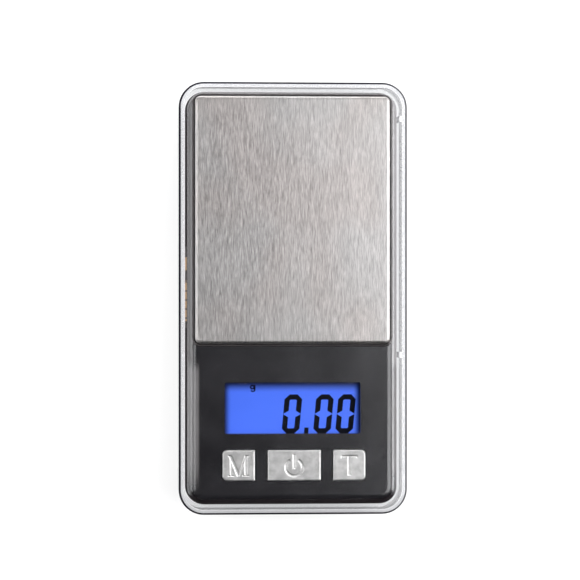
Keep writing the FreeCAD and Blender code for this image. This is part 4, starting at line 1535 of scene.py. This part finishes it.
@dataclass
class Studio:
    """Camera nearly straight above, white floor and soft boxes at the right, far and left; in metres."""

    distance: float = 0.60
    field_wide: float = 0.1566
    sensor: float = 36.0
    aim: Point = (-0.00074, 0.00224, 0.0166)
    lean: float = math.radians(3.2)
    lamp_aim: Point = (0.0, 0.0, 0.01)
    floor_half: float = 1.5
    sky_dim: float = 0.004
    sky_seen: float = 0.62
    lamps: tuple[SoftBox, ...] = (
        SoftBox("right_box", (0.38, 0.06, 0.52), (0.62, 0.60), 4.9),
        SoftBox("right_low_box", (0.60, 0.04, 0.20), (0.60, 0.38), 5.2),
        SoftBox("far_box", (0.03, 0.55, 0.20), (0.80, 0.36), 6.0),
        SoftBox("left_box", (-0.45, 0.04, 0.45), (0.50, 0.50), 2.15),
        SoftBox("left_low_box", (-0.60, 0.04, 0.20), (0.60, 0.38), 1.9))

    def _camera(self) -> None:
        """Sets the camera; its lens is the sensor times the distance over the width that it sees."""
        data = bpy.data.cameras.new("camera")
        data.sensor_width = self.sensor
        data.lens = self.sensor * self.distance / self.field_wide
        data.clip_start, data.clip_end = 0.01, 10.0
        camera = bpy.data.objects.new("camera", data)
        away = Vector((-math.sin(self.lean), 0.0, math.cos(self.lean))) * self.distance
        camera.location = Vector(self.aim) + away
        camera.rotation_euler = (0.0, -self.lean, 0.0)
        bpy.context.scene.collection.objects.link(camera)
        bpy.context.scene.camera = camera

    def _light(self, box: SoftBox) -> None:
        """Adds one lamp that points at the scale and isn't seen itself.

        Args:
            box: The lamp's place, size and power.
        """
        lamp = bpy.data.lights.new(box.name, "AREA")
        lamp.shape = "RECTANGLE"
        lamp.size, lamp.size_y = box.size
        lamp.energy = box.power
        holder = bpy.data.objects.new(box.name, lamp)
        holder.location = box.place
        toward = Vector(self.lamp_aim) - Vector(box.place)
        holder.rotation_euler = toward.to_track_quat("-Z", "Y").to_euler()
        holder.visible_camera = False
        bpy.context.scene.collection.objects.link(holder)

    def _floor(self) -> None:
        """Lays a wide flat sheet at the height that the scale stands on."""
        count = 9
        x, y = np.meshgrid(*[np.linspace(-self.floor_half, self.floor_half, count)] * 2)
        points = np.column_stack([x.ravel(), y.ravel(), np.zeros(x.size)])
        mesh = bpy.data.meshes.new("studio_floor")
        mesh.from_pydata(points.tolist(), [], grid_faces(count, count).tolist())
        mesh.materials.append(StudioFloor("white_sweep").material())
        floor = bpy.data.objects.new("studio_floor", mesh)
        bpy.context.scene.collection.objects.link(floor)

    def _sky(self) -> None:
        """Makes the surround nearly dark as a light and pale grey where it is looked at."""
        world = bpy.data.worlds.new("sky")
        world.use_nodes = True
        tree = world.node_tree
        background = tree.nodes["Background"]
        background.inputs["Color"].default_value = (1.0, 1.0, 1.0, 1.0)
        path = tree.nodes.new("ShaderNodeLightPath")
        level = tree.nodes.new("ShaderNodeMapRange")
        level.inputs["To Min"].default_value = self.sky_dim
        level.inputs["To Max"].default_value = self.sky_seen
        tree.links.new(path.outputs["Is Camera Ray"], level.inputs["Value"])
        tree.links.new(level.outputs["Result"], background.inputs["Strength"])
        bpy.context.scene.world = world

    def build(self) -> None:
        """Sets the camera, the floor, the lamps and the sky."""
        bpy.context.scene.view_settings.view_transform = "Standard"
        self._camera()
        self._floor()
        for box in self.lamps:
            self._light(box)
        self._sky()


def main() -> None:
    """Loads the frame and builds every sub-assembly in order."""
    logging.basicConfig(level=logging.INFO, format="%(name)s: %(message)s")
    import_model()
    for assembly in (Studio(), DustCover(), Casing(), Platform(), LoadCell(), Display(), Keypad(),
                     Electronics(), PowerPack()):
        assembly.build()
        LOG.info("%s done", type(assembly).__name__)


if __name__ == "__main__":
    main()
